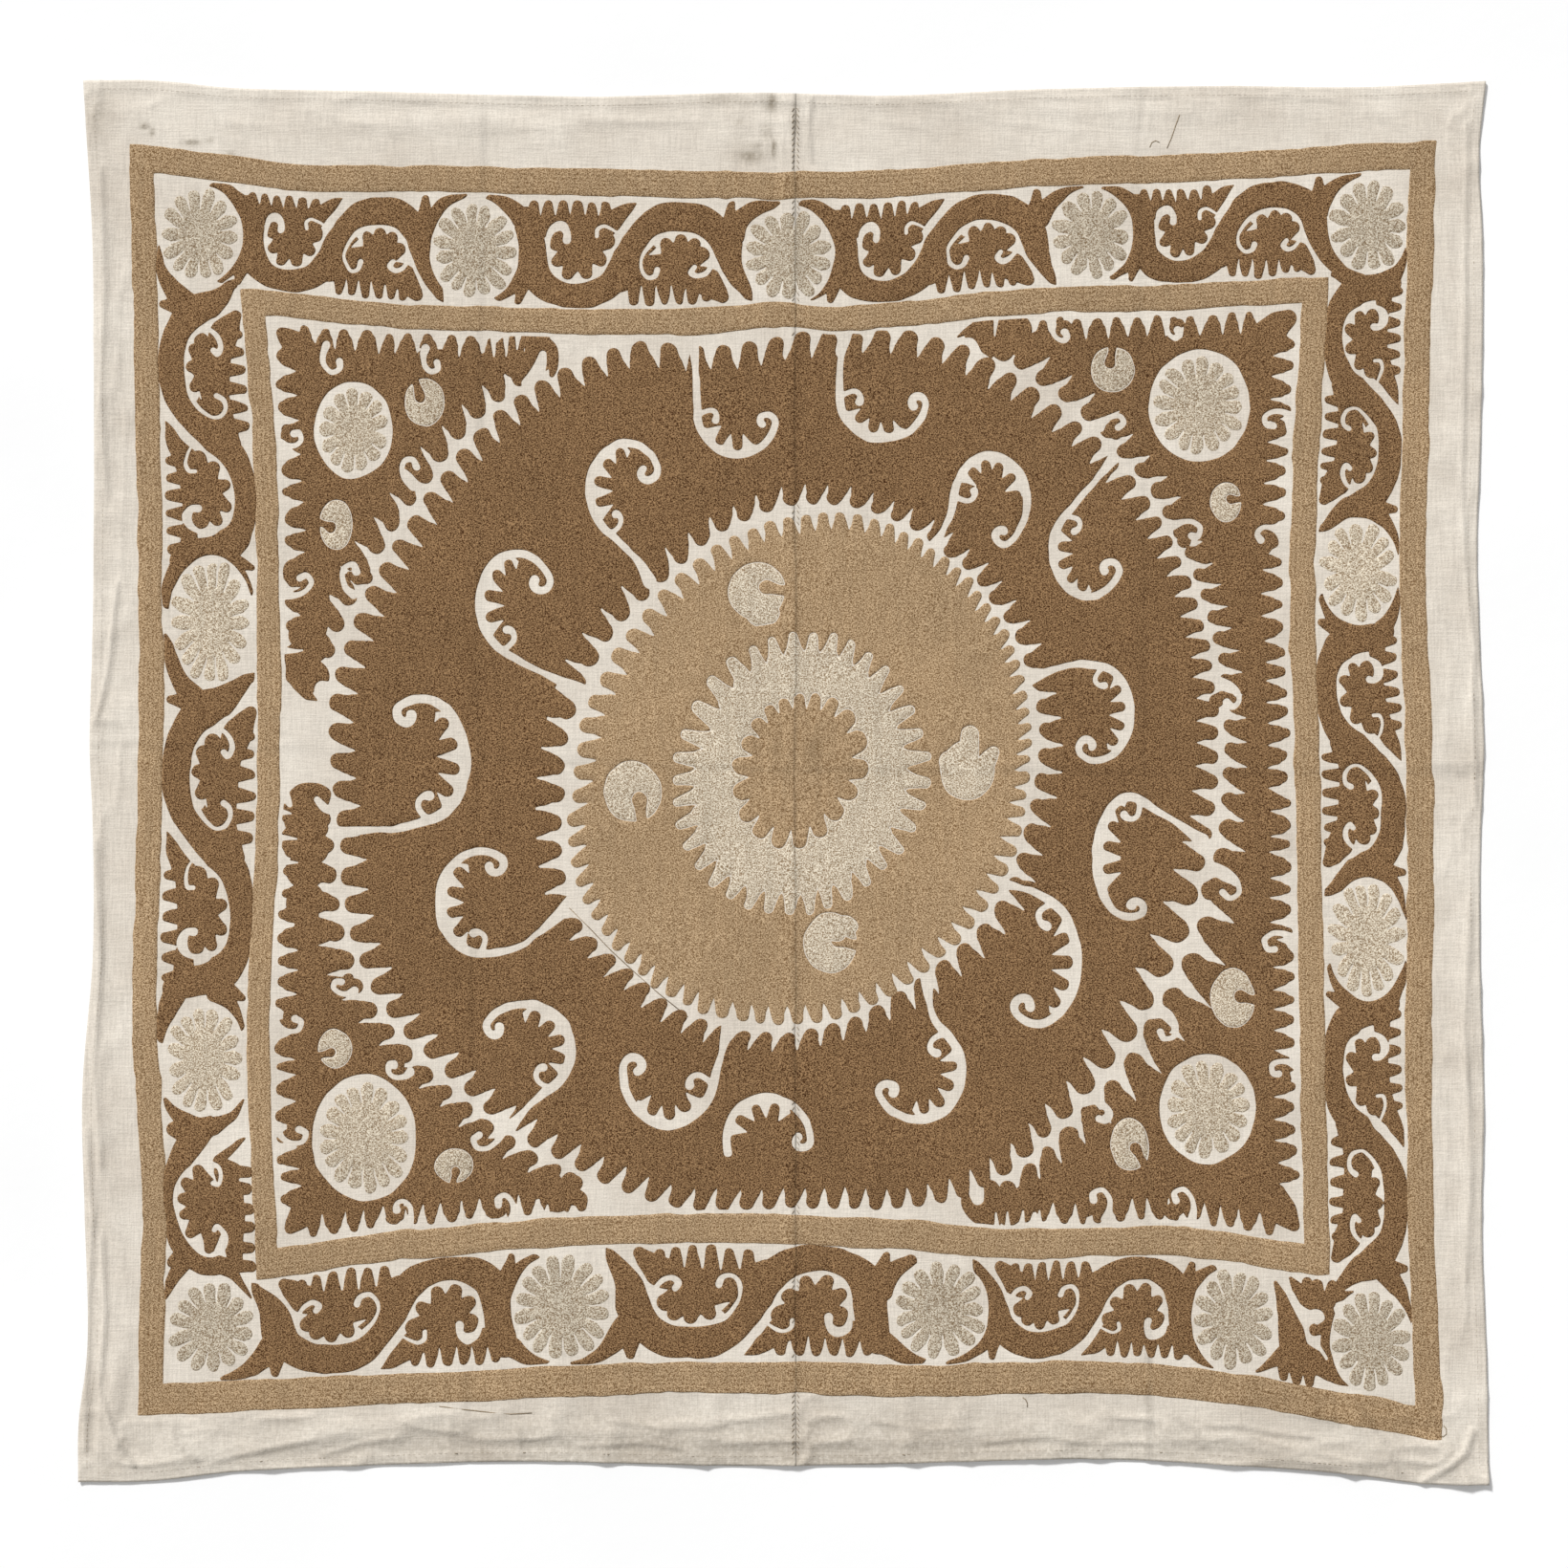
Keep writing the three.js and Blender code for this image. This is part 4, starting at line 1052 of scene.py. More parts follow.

# Old stains beside the seam, drops of ink, rubbed dirt and a broad faint band that makes the bottom margin
# darker: place, half-sizes and strength
STAINS = [
    (-13, 712, 6, 12, 0.8), (-16, 680, 4, 10, 0.7), (-37, 711, 4, 4, 0.6), (-30, 665, 4, 3, 0.9),
    (-34, 655, 14, 7, 0.7), (-10, 663, 2.5, 9, 1.0), (-47, 690, 5, 4, 0.45), (12, 690, 4, 26, 0.55),
    (-60, 715, 30, 6, 0.3), (-667, 686, 5, 3, 0.9), (-660, 680, 3, 4, 0.8), (-619, 669, 8, 3, 0.9),
    (-600, 672, 3, 3, 0.5), (-579, 658, 4, 3, 0.5), (-320, -698, 34, 7, 0.4), (-150, -668, 20, 4, 0.35),
    (0, -705, 760, 60, 0.4), (-705, -718, 30, 10, 0.25), (-716, 700, 14, 20, 0.3), (395, -700, 10, 14, 0.35),
    (383, -650, 3, 60, 0.3),
]

# Yarn shells: (depth inside the edge, height above the ground cloth), the contours that bound their faces,
# how far off its neighbours' line and how far apart from them a point is left out, and the fewest points
YARN_PROFILE = [(0.0, -0.15), (0.7, 0.55), (1.8, 0.88), (3.2, 1.0)]
CONTOUR_DEPTHS = (0.0, 0.7, 1.8)
SIMPLIFY = 0.12
LONGEST = 6.0
THIN_ROUNDS = 3
FEWEST_THINNED = 8
FEWEST_POINTS = 6
WELD = 1e-4
FULLNESS = {"brown": 1.0, "tan": 1.0, "cream": 0.6}

# Points inside the contours: pitch and unevenness, closer about the heart, and depth past the last contour
STITCH_PITCH = 5.5
STITCH_UNEVEN = 1.5
HEART_PITCH = 2.6
HEART_UNEVEN = 0.5
STITCH_DEPTH = 1.4

# Relief of the stitches: rise, pitch, and the depth over which it grows with the share that it starts below
STITCH_RELIEF = 0.16
RELIEF_PITCH = 6.0
RELIEF_DEPTH = 3
RELIEF_START = 0.3


def fold_heights(x, y):
    """Height of the margin's ripples, before they fade out under the embroidery."""
    height = np.zeros_like(x)
    for middle_x, middle_y, heading, length, width, rise in FOLDS:
        turn = np.radians(heading)
        along = (x - middle_x) * np.cos(turn) + (y - middle_y) * np.sin(turn)
        across = (y - middle_y) * np.cos(turn) - (x - middle_x) * np.sin(turn)
        height += rise * np.exp(-((2 * along / length) ** 2) - (across / width) ** 2)
    return height


def smooth_noise(x, y, pitch, seed):
    """Even, seeded noise from -1 to 1 with bumps of about the given pitch."""
    table = np.random.default_rng(seed).uniform(-1, 1, (NOISE_ENTRIES, NOISE_ENTRIES))
    across = np.asarray(x) / pitch + NOISE_SHIFT
    up = np.asarray(y) / pitch + NOISE_SHIFT
    column, row = np.floor(across).astype(int), np.floor(up).astype(int)
    endless = np.pad(table, (0, 1), mode="wrap")
    shares = eased(up - row), eased(across - column)
    return blended(endless, row % NOISE_ENTRIES, column % NOISE_ENTRIES, *shares)


def seam_at(y):
    """The seam's place at a height: a line sewn by hand, not quite straight."""
    return SEAM_X + SEAM_WOBBLE * smooth_noise(y, 0.0 * y, SEAM_WOBBLE_PITCH, SEEDS["seam"])


def to_line(x, y, line):
    """Distance of each place from a broken line."""
    nearest = np.full(np.shape(x), CLOTH_LENGTH)
    for (start_x, start_y), (end_x, end_y) in zip(line, line[1:]):
        run_x, run_y = end_x - start_x, end_y - start_y
        share = ((x - start_x) * run_x + (y - start_y) * run_y) / (run_x**2 + run_y**2)
        share = np.clip(share, 0, 1)
        nearest = np.minimum(nearest, np.hypot(x - start_x - share * run_x, y - start_y - share * run_y))
    return nearest


def creased(x, y):
    """Share of a fold crease at each place: 1 in its middle, 0 away from it."""
    nearest = np.min([to_line(x, y, line) for line in CREASES], axis=0)
    return np.exp(-((nearest / CREASE_HALF) ** 2))


def heart_folds(x, y):
    """Share of the fine upright folds about the heart, up to 1 on their crests."""
    near = np.exp(-((x - HEART_X) ** 2 + (y - HEART_Y) ** 2) / HEART_PUCKER_REACH**2)
    return near * (1 + smooth_noise(x, y / HEART_PUCKER_STRETCH, HEART_PUCKER_PITCH, SEEDS["heart"])) / 2


def shade_and_dirt(x, y):
    """Share of painted shade in the pressed folds, along the seam and on the heart's folds, with some dirt
    in the creases.
    """
    seam = SEAM_SHADE * np.exp(-((x - seam_at(y)) / SEAM_SHADE_HALF) ** 2)
    folds = np.min([to_line(x, y, line) for _, _, line in FOLD_LINES], axis=0)
    folds = FOLD_SHADE * np.exp(-((folds / FOLD_SHADE_HALF) ** 2))
    # Painted shade drawn as dark lines over the heart's fine folds
    wrinkles = np.clip(HEART_SHADE * (heart_folds(x, y) - HEART_UNSHADED), 0, 1)
    return np.max([CREASE_SHADE_AND_DIRT * creased(x, y), seam, folds, wrinkles], axis=0)


def pressed(x, y):
    """Height of the margin's pressed folds."""
    height = np.zeros_like(x)
    for rise, half, line in FOLD_LINES:
        height += rise * np.exp(-((to_line(x, y, line) / half) ** 2))
    return height


def crumple(x, y, side, inset):
    """Height of one margin's crumples: ridges with sharp crests, drawn out along the edge."""
    rise, reach, stretch, pitch = CRUMPLES[side]
    seed = SEEDS[side]
    share = np.clip((reach - inset) / CRUMPLE_FADE, 0, 1)
    stretched = (x, y / stretch) if side == "side" else (x / stretch, y)
    skewed = (x + y / FINE_SKEW, y - x / FINE_SKEW)
    broad = (1 - abs(smooth_noise(*stretched, pitch, seed))) ** BROAD_SHARP
    fine = (1 - abs(smooth_noise(*skewed, pitch * CRUMPLE_FINE, seed + FINE_SEED))) ** FINE_SHARP
    return rise * share * (broad + CRUMPLE_FINE * fine * broad)


def lie(x, y):
    """Height of the cloth's underside above the floor."""
    insets = {
        "bottom": y - EDGE_CURVES["bottom"](x),
        "top": EDGE_CURVES["top"](x) - y,
        "side": np.minimum(EDGE_CURVES["right"](y) - x, x - EDGE_CURVES["left"](y)),
    }
    inset = np.min(list(insets.values()), axis=0)
    bare_share = 1 - np.clip((inset - FOLD_FADE[0]) / (FOLD_FADE[1] - FOLD_FADE[0]), 0, 1)
    margin = (fold_heights(x, y) + pressed(x, y)) * bare_share
    for side, depth in insets.items():
        margin = margin + crumple(x, y, side, depth)
    pucker = PUCKER * (1 + smooth_noise(x, y, PUCKER_PITCH, SEEDS["pucker"]))
    pucker = pucker * (1 - PUCKER_PRESSED * creased(x, y))
    drawn = np.exp(-abs(x - seam_at(y)) / SEAM_PUCKER_REACH)
    ripples = 1 + smooth_noise(x / SEAM_PUCKER_STRETCH, y, SEAM_PUCKER_PITCH, SEEDS["gathers"])
    step = np.interp(seam_at(y) - x, *np.array(SEAM_STEP).T)
    return margin + pucker + SEAM_PUCKER * drawn * ripples + HEART_PUCKER * heart_folds(x, y) + step


def soiled(x, y):
    """Strength of the stains at each place."""
    strength = np.zeros_like(x)
    for stain_x, stain_y, half_x, half_y, share in STAINS:
        off = ((x - stain_x) / half_x) ** 2 + ((y - stain_y) / half_y) ** 2
        strength = np.maximum(strength, share * np.exp(-off))
    return strength


def linear(red, green, blue):
    """An sRGB colour of 0 to 255 as a linear one."""
    share = np.array([red, green, blue]) / 255.0
    return tuple(np.where(share <= 0.04045, share / 12.92, ((share + 0.055) / 1.055) ** 2.4)) + (1.0,)


def new_piece(name, points, faces, material, marks=None, smooth_shading=True):
    """A mesh object from points in millimetres, with marks that its material reads at each point."""
    mesh = bpy.data.meshes.new(name)
    mesh.from_pydata((np.float32(points) * MM).tolist(), [], np.asarray(faces).tolist())
    mesh.polygons.foreach_set("use_smooth", np.full(len(faces), smooth_shading))
    mesh.update(calc_edges=True)
    mesh.validate()
    for mark, values in (marks or {}).items():
        mesh.attributes.new(mark, "FLOAT", "POINT").data.foreach_set("value", np.float32(values))
    piece = bpy.data.objects.new(name, mesh)
    bpy.context.scene.collection.objects.link(piece)
    mesh.materials.append(material)
    return piece


def grid_lines(size, fine_ends):
    """Places across a panel: close together in the fine stretches at its ends."""
    first, last = fine_ends
    start = np.arange(0, first, MARGIN_LINE)
    middle = np.linspace(first, size - last, int(np.ceil((size - first - last) / FIELD_LINE)) + 1)
    end = size - np.arange(0, last, MARGIN_LINE)[::-1]
    return np.concatenate([start, middle, end])


def ground_panel(name, side, material):
    """One loom width of the ground cloth: a thin closed sheet from its outer edge to the seam."""
    outer = EDGE_CURVES["right" if side > 0 else "left"]
    bottom, top = EDGE_CURVES["bottom"], EDGE_CURVES["top"]
    width = abs(float(outer(0.0)) - SEAM_X)
    across = grid_lines(width, (MARGIN, SEAM_MARGIN))
    along = grid_lines(CLOTH_LENGTH, (MARGIN, MARGIN))
    from_edge, from_bottom = np.meshgrid(across / width, along / CLOTH_LENGTH)
    height = (from_bottom - 0.5) * CLOTH_LENGTH
    edge = outer(height)
    x = edge + (seam_at(height) + side * SEAM_GAP / 2 - edge) * from_edge
    y = bottom(x) + (top(x) - bottom(x)) * from_bottom
    inset = np.minimum(from_edge * width, np.minimum(from_bottom, 1 - from_bottom) * CLOTH_LENGTH)
    hem = HEM_RISE * np.clip((HEM_WIDTH + HEM_SLOPE - inset) / HEM_SLOPE, 0, 1)
    under = lie(x, y)
    over = under + GROUND + hem
    points = np.concatenate([np.stack([x, y, z], -1).reshape(-1, 3) for z in (over, under)])
    number = np.arange(x.size).reshape(x.shape)
    quads = np.stack([number[:-1, :-1], number[:-1, 1:], number[1:, 1:], number[1:, :-1]], -1).reshape(-1, 4)
    rim = np.concatenate([number[0, :-1], number[:-1, -1], number[-1, :0:-1], number[:0:-1, 0]])
    after = np.roll(rim, -1)
    walls = np.stack([rim, rim + x.size, after + x.size, after], 1)
    faces = np.concatenate([quads, quads[:, ::-1] + x.size, walls])
    if side > 0:
        faces = faces[:, ::-1]
    x, y, _ = points.T
    # The stains are the cloth's own; the crease mark is painted shade of the folds, seam and creases, with
    # some dirt in the creases
    marks = {"stain": soiled(x, y), "crease": shade_and_dirt(x, y)}
    return new_piece(name, points, faces, material, marks)


# Marching squares: which edge of a cell a contour comes in by and leaves by, for each case of its corners
CELL_LINKS = [
    (1, "bottom", "left"), (2, "right", "bottom"), (3, "right", "left"), (4, "top", "right"),
    (5, "bottom", "left"), (5, "top", "right"), (6, "top", "bottom"), (7, "top", "left"), (8, "left", "top"),
    (9, "bottom", "top"), (10, "right", "bottom"), (10, "left", "top"), (11, "right", "top"),
    (12, "left", "right"), (13, "bottom", "right"), (14, "left", "bottom"),
]


def contours(depth, level):
    """Closed loops of points where a depth raster passes a level, with the deeper side on their left."""
    high = depth > level
    points, crossed = [], []
    for up, over in ((0, 1), (1, 0)):
        cross = high[: SIDE - up, : SIDE - over] != high[up:, over:]
        crossed.append(np.cumsum(cross).reshape(cross.shape) - 1 + sum(map(len, points)))
        row, column = np.nonzero(cross)
        share = (level - depth[row, column]) / (depth[row + up, column + over] - depth[row, column])
        points.append(np.stack([AXIS[column] + over * share * STEP, AXIS[row] + up * share * STEP], 1))
    points = np.concatenate(points)
    code = high[:-1, :-1] + 2 * high[:-1, 1:] + 4 * high[1:, 1:] + 8 * high[1:, :-1]
    level_number, upright_number = crossed
    numbers = {
        "bottom": level_number[:-1], "top": level_number[1:],
        "left": upright_number[:, :-1], "right": upright_number[:, 1:],
    }
    following = np.zeros(len(points), int)
    for case, start, end in CELL_LINKS:
        cells = code == case
        following[numbers[start][cells]] = numbers[end][cells]
    return [thinned(points[loop]) for loop in walks(following.tolist())]


def walks(following):
    """Splits a chain of followers into its closed loops."""
    seen = [False] * len(following)
    loops = []
    for start in range(len(following)):
        loop = []
        here = start
        while not seen[here]:
            seen[here] = True
            loop.append(here)
            here = following[here]
        if len(loop) >= FEWEST_POINTS:
            loops.append(loop)
    return loops


def thinned(loop):
    """A loop without the points that lie on the line between their neighbours."""
    for _ in range(THIN_ROUNDS):
        count = len(loop) // 2 * 2
        if count < FEWEST_THINNED:
            break
        odd = np.arange(1, count, 2)
        before, here, after = loop[odd - 1], loop[odd], loop[(odd + 1) % len(loop)]
        run = after - before
        length = np.hypot(*run.T)
        step = here - before
        off = abs(run[:, 0] * step[:, 1] - run[:, 1] * step[:, 0]) / np.maximum(length, TINY)
        keep = np.ones(len(loop), bool)
        keep[odd[(off < SIMPLIFY) & (length < LONGEST)]] = False
        loop = loop[keep]
    return loop


def yarn_rise(depth, x, y, fullness=1.0):
    """Height of the yarn above the ground cloth."""
    inside = sampled(depth, x, y)
    grown = np.clip(inside / RELIEF_DEPTH - RELIEF_START, 0, 1)
    relief = STITCH_RELIEF * smooth_noise(x, y, RELIEF_PITCH, SEEDS["relief"]) * grown
    rise = np.interp(inside, *np.array(YARN_PROFILE).T)
    return np.where(rise > 0, fullness * rise, rise) + relief


def scattered(draws, across, up, reach):
    """A net of points over places across and up, each moved a little at random."""
    return [(axis + draws.uniform(-reach, reach, axis.shape)).ravel() for axis in np.meshgrid(across, up)]


def yarn_shell(name, depth, whole, fullness, across_band, material):
    """A raised shell of yarn over all places with a positive depth, as high as the whole layer is there."""
    points, edges = [], []
    total = 0
    for level in CONTOUR_DEPTHS:
        for loop in contours(depth, level):
            numbers = np.arange(len(loop)) + total
            points.append(loop)
            edges.append(np.stack([numbers, np.roll(numbers, -1)], 1))
            total += len(loop)
    draws = np.random.default_rng(SEED)
    wide = np.arange(-HALF, HALF, STITCH_PITCH)
    close = np.arange(-HEART_PUCKER_REACH, HEART_PUCKER_REACH, HEART_PITCH)
    net = scattered(draws, wide, wide, STITCH_UNEVEN)
    near_net = scattered(draws, HEART_X + close, HEART_Y + close, HEART_UNEVEN)
    inner = np.concatenate([net, near_net], axis=1)
    deep = sampled(depth, *inner) > CONTOUR_DEPTHS[-1] + STITCH_DEPTH
    points = np.concatenate([*points, inner.T[deep]])
    corners = [Vector(point) for point in points.tolist()]
    flat, _, faces, *_ = delaunay_2d_cdt(corners, np.concatenate(edges).tolist(), [], 0, WELD, False)
    flat = np.array([tuple(point) for point in flat])
    faces = np.array(faces)
    faces = faces[sampled(depth, *flat[faces].mean(1).T) > 0]
    used, faces = np.unique(faces, return_inverse=True)
    x, y = flat[used].T
    points = np.stack([x, y, lie(x, y) + GROUND + yarn_rise(whole, x, y, fullness)], 1)
    # The crease mark is painted shade of the seam, the creases and the heart's folds, with some dirt in the
    # creases
    marks = {"crease": shade_and_dirt(x, y), "row": sampled(across_band, x, y)}
    return new_piece(name, points, faces.reshape(-1, 3), material, marks)


def thread(name, paths, face, material):
    """Threads with a three-cornered section on a face, along paths of places with a width and a height."""
    places, rises, faces = [], [], []
    total = 0
    for path, width, height in paths:
        path = np.asarray(path, float)
        count = len(path)
        ahead = np.gradient(path, axis=0)
        aside = np.stack([-ahead[:, 1], ahead[:, 0]], 1) / np.hypot(*ahead.T)[:, None] * width / 2
        places += [path + aside, path, path - aside]
        rises += [np.repeat((0.0, height, 0.0), count)]
        here = np.arange(count - 1) + total
        for first, second in ((0, 1), (1, 2), (2, 0)):
            one, two = here + first * count, here + second * count
            faces += [np.stack([one, two, one + 1], 1), np.stack([two, two + 1, one + 1], 1)]
        start = total + count * np.arange(3)
        faces += [start[None, ::-1], start[None] + count - 1]
        total += 3 * count
    x, y = np.concatenate(places).T
    points = np.stack([x, y, face(x, y) + np.concatenate(rises)], 1)
    return new_piece(name, points, np.concatenate(faces), material)


# Looks of every cloth: shine, and tone of the painted shade, with some dirt, of the crease mark
SPECULAR = 0.1
CREASE_SHADE = 0.80
CLOTH_ROUGH = 0.95


class Graph:
    """A material's node tree, built from nodes that take numbers, colours or other nodes' outputs."""

    def __init__(self, name, roughness):
        self.material = bpy.data.materials.new(name)
        self.material.use_nodes = True
        self.tree = self.material.node_tree
        self.shader = self.tree.nodes["Principled BSDF"]
        self.shader.inputs["Roughness"].default_value = roughness
        self.shader.inputs["Specular IOR Level"].default_value = SPECULAR
        self.place = self.add("ShaderNodeTexCoord").outputs["Object"]

    def add(self, kind, inputs=None, **settings):
        """A new node with its settings and inputs."""
        node = self.tree.nodes.new(kind)
        for key, value in settings.items():
            setattr(node, key, value)
        for key, value in (inputs or {}).items():
            self.put(node.inputs[key], value)
        return node

    def put(self, socket, value):
        """Links another node's output to a socket, or sets its value."""
        if isinstance(value, bpy.types.NodeSocket):
            self.tree.links.new(value, socket)
        else:
            socket.default_value = value

    def stretched(self, across, up):
        """The place with its axes scaled, to stretch a texture."""
        inputs = {"Vector": self.place, "Scale": (across, up, 1.0)}
        return self.add("ShaderNodeMapping", inputs).outputs["Vector"]

    def noise(self, scale, detail=2.0, rough=0.5, distort=0.0, place=None):
        """Noise with a number of bumps to a metre."""
        inputs = {"Vector": place or self.place, "Scale": scale, "Detail": detail}
        inputs |= {"Roughness": rough, "Distortion": distort}
        return self.add("ShaderNodeTexNoise", inputs).outputs["Fac"]

    def math(self, operation, first, second):
        return self.add("ShaderNodeMath", {0: first, 1: second}, operation=operation).outputs[0]

    def mark(self, name):
        """A value that the piece holds at its points."""
        return self.add("ShaderNodeAttribute", attribute_name=name).outputs["Fac"]

    def spread(self, value, low, high, to_low=0.0, to_high=1.0):
        """A value's range from low to high, moved to another range and held inside it."""
        inputs = {"Value": value, "From Min": low, "From Max": high, "To Min": to_low, "To Max": to_high}
        return self.add("ShaderNodeMapRange", inputs).outputs[0]

    def mix(self, share, first, second, blend="MIX"):
        inputs = {0: share, 6: first, 7: second}
        return self.add("ShaderNodeMix", inputs, data_type="RGBA", blend_type=blend).outputs[2]

    def toned(self, colour, *shades):
        """A colour made darker or lighter by each shade."""
        for shade in shades:
            colour = self.mix(1.0, colour, shade, "MULTIPLY")
        return colour

    def with_shade_and_dirt(self, colour):
        """A colour darkened by the crease mark: painted shade, with some dirt in the creases."""
        return self.toned(colour, self.spread(self.mark("crease"), 0.0, 1.0, 1.0, CREASE_SHADE))

    def finish(self, colour, height, distance, strength=1.0):
        """The material with its colour and its relief, a distance in metres and a strength."""
        bump = self.add("ShaderNodeBump", {"Height": height, "Distance": distance, "Strength": strength})
        self.put(self.shader.inputs["Base Color"], colour)
        self.put(self.shader.inputs["Normal"], bump.outputs["Normal"])
        return self.material


# Brightness of a white cloth in this light, and the yarn's sizes in millimetres, bumps to a metre and tones
LIGHT_GAIN = 1.22
ROW_PITCH = 4.7
ROW_WANDER = (60.0, 3.0)
ROW_RELIEF = 0.022
LOOP_SIZE = 1.3
LOOP_TONES = (0.38, 0.62)
LOOP_ROUGH = (0.3, 0.7, 0.98, 0.86)
STREAK_WIDTH = 5.0
STREAK_STRETCH = 0.08
STREAK_TONES = (0.35, 0.65, 0.96, 1.04)
FADE_BUMPS = 7.0
FADE_TONES = (0.35, 0.65, 0.955, 1.045)
TONE_REACH = (0.25, 0.52)
YARN_BUMP = (0.0011, 0.8)

# Yarn colours: dark and light as sRGB, and the tone in the middle of the cloth and at its top and bottom
YARN_COLOURS = {
    "brown": ((72, 42, 17), (182, 145, 104), (1.0, 0.98)),
    "tan": ((128, 97, 63), (220, 190, 151), (1.04, 0.98)),
    "cream": ((152, 127, 97), (255, 243, 220), (1.06, 0.88)),
}

# Linen: sizes of its threads and specks in millimetres, bumps to a metre, colours as sRGB and tones
LINEN_THREAD = 1.7
LINEN_SPECK = 1.8
LINEN_STRETCH = 0.07
LINEN_BUMPS = 9.0
STAIN_BUMPS = 220.0
LINEN_DARK = (230, 219, 204)
LINEN_LIGHT = (250, 241, 227)
LINEN_TONES = (0.32, 0.68)
WEAVE_TONES = (1.1, 1.9, 0.86, 1.10)
WEAVE_ROUGH = (1.1, 1.9, 0.98, 0.88)
STAIN_COLOUR = (122, 108, 84)
STAIN_TONES = (0.3, 0.6, 0.4, 1.0)
LINEN_BUMP = (0.0004, 0.6)

# Sewing thread: size of its twist in millimetres, colours as sRGB and tones
TWIST = 1.2
TWIST_TONES = (0.3, 0.7)
THREAD_DARK = (132, 114, 90)
THREAD_LIGHT = (184, 164, 136)
THREAD_ROUGH = 0.9
THREAD_BUMP = (0.0003, 0.6)


def under_light(red, green, blue):
    """The albedo that shows as an sRGB colour in this scene's light."""
    return tuple(channel / LIGHT_GAIN for channel in linear(red, green, blue)[:3]) + (1.0,)


def yarn_material(name, dark, light, tones):
    """Chain stitch: short worm-like loops of yarn in rows, darker between the loops, with slow fading and
    another tone in the middle of the cloth than at its top and bottom."""
    graph = Graph(name, CLOTH_ROUGH)
    loops = graph.noise(1 / (LOOP_SIZE * MM), 1.0, 0.6, 0.5)
    wander = graph.math("MULTIPLY", graph.noise(ROW_WANDER[0], 1.0), ROW_WANDER[1])
    row = graph.math("ADD", graph.mark("row"), wander)
    wave = graph.math("SINE", graph.math("MULTIPLY", row, 2 * np.pi / ROW_PITCH), 0.0)
    on_band = graph.math("LESS_THAN", graph.math("ABSOLUTE", graph.mark("row"), 0.0), BAND_REACH)
    lines = graph.math("MULTIPLY", graph.math("MULTIPLY", wave, on_band), ROW_RELIEF)
    height = graph.math("ADD", loops, lines)
    colour = graph.mix(graph.spread(height, *LOOP_TONES), under_light(*dark), under_light(*light))
    fade = graph.spread(graph.noise(FADE_BUMPS, 3.0), *FADE_TONES)
    up = graph.add("ShaderNodeSeparateXYZ", {"Vector": graph.place}).outputs["Y"]
    tone = graph.spread(graph.math("ABSOLUTE", up, 0.0), *TONE_REACH, *tones)
    streak = graph.noise(1 / (STREAK_WIDTH * MM), 1.0, place=graph.stretched(1.0, STREAK_STRETCH))
    # Painted shade of the folds, seam, creases and heart's folds darkens the yarn, with some dirt in the
    # creases
    colour = graph.with_shade_and_dirt(graph.toned(colour, fade, tone, graph.spread(streak, *STREAK_TONES)))
    graph.put(graph.shader.inputs["Roughness"], graph.spread(loops, *LOOP_ROUGH))
    return graph.finish(colour, height, *YARN_BUMP)


def linen_material():
    """Washed plain weave: warp and weft, slow changes of tone, creases and stains."""
    graph = Graph("linen", CLOTH_ROUGH)
    fine = 1 / (LINEN_THREAD * MM)
    warp = graph.noise(fine, 1.0, place=graph.stretched(1.0, LINEN_STRETCH))
    weft = graph.noise(fine, 1.0, place=graph.stretched(LINEN_STRETCH, 1.0))
    speck = graph.noise(1 / (LINEN_SPECK * MM), 1.0)
    weave = graph.math("ADD", graph.math("ADD", warp, weft), speck)
    tone = graph.spread(graph.noise(LINEN_BUMPS, 4.0, 0.6), *LINEN_TONES)
    colour = graph.mix(tone, under_light(*LINEN_DARK), under_light(*LINEN_LIGHT))
    # Painted shade of the folds, seam and creases darkens the linen, with some dirt in the creases
    colour = graph.with_shade_and_dirt(graph.toned(colour, graph.spread(weave, *WEAVE_TONES)))
    patchy = graph.spread(graph.noise(STAIN_BUMPS, 3.0), *STAIN_TONES)
    blot = graph.math("MULTIPLY", graph.mark("stain"), patchy)
    colour = graph.mix(blot, colour, under_light(*STAIN_COLOUR))
    graph.put(graph.shader.inputs["Roughness"], graph.spread(weave, *WEAVE_ROUGH))
    return graph.finish(colour, weave, *LINEN_BUMP)


def thread_material():
    """Twisted sewing thread."""
    graph = Graph("thread", THREAD_ROUGH)
    twist = graph.noise(1 / (TWIST * MM), 1.0)
    tone = graph.spread(twist, *TWIST_TONES)
    colour = graph.mix(tone, under_light(*THREAD_DARK), under_light(*THREAD_LIGHT))
    return graph.finish(colour, twist, *THREAD_BUMP)


linen = linen_material()
sewing = thread_material()
yarns = {colour: yarn_material(f"yarn_{colour}", *looks) for colour, looks in YARN_COLOURS.items()}

layer_list = draw()
across_band = layer_list.pop()
layers = dict(zip(YARN_COLOURS, layer_list))
highest = np.maximum.reduce(layer_list)

# Stitches and threads, in millimetres: length and pitch of the stitches, width and height of the threads,
# and the depth in the yarn from which a stitch is covered
HEM_STITCH = (3.0, 5.5)
HEM_REACH = 716.0
LEVEL_POINTS = 60
UPRIGHT_POINTS = 100
STITCH_INSET = 9.5
SEAM_STITCH = (4.0, 6.0)
SEAM_SLANT = 32.0
SEAM_INSET = 2.6
SEAM_ENDS = (706.0, -702.0)
STITCH_THREAD = (0.6, 0.9)
LOOSE_THREAD = (1.0, 0.6)
THREAD_CLEAR = 1.4
COVERED = -1.0
DRAWN_LINES = [
    [(-224, -131), (-202, -153), (-180, -176), (-155, -199), (-130, -221), (-100, -245)],
    [(-360, -652), (-335, -655), (-308, -658), (-285, -660), (-263, -659)],
]
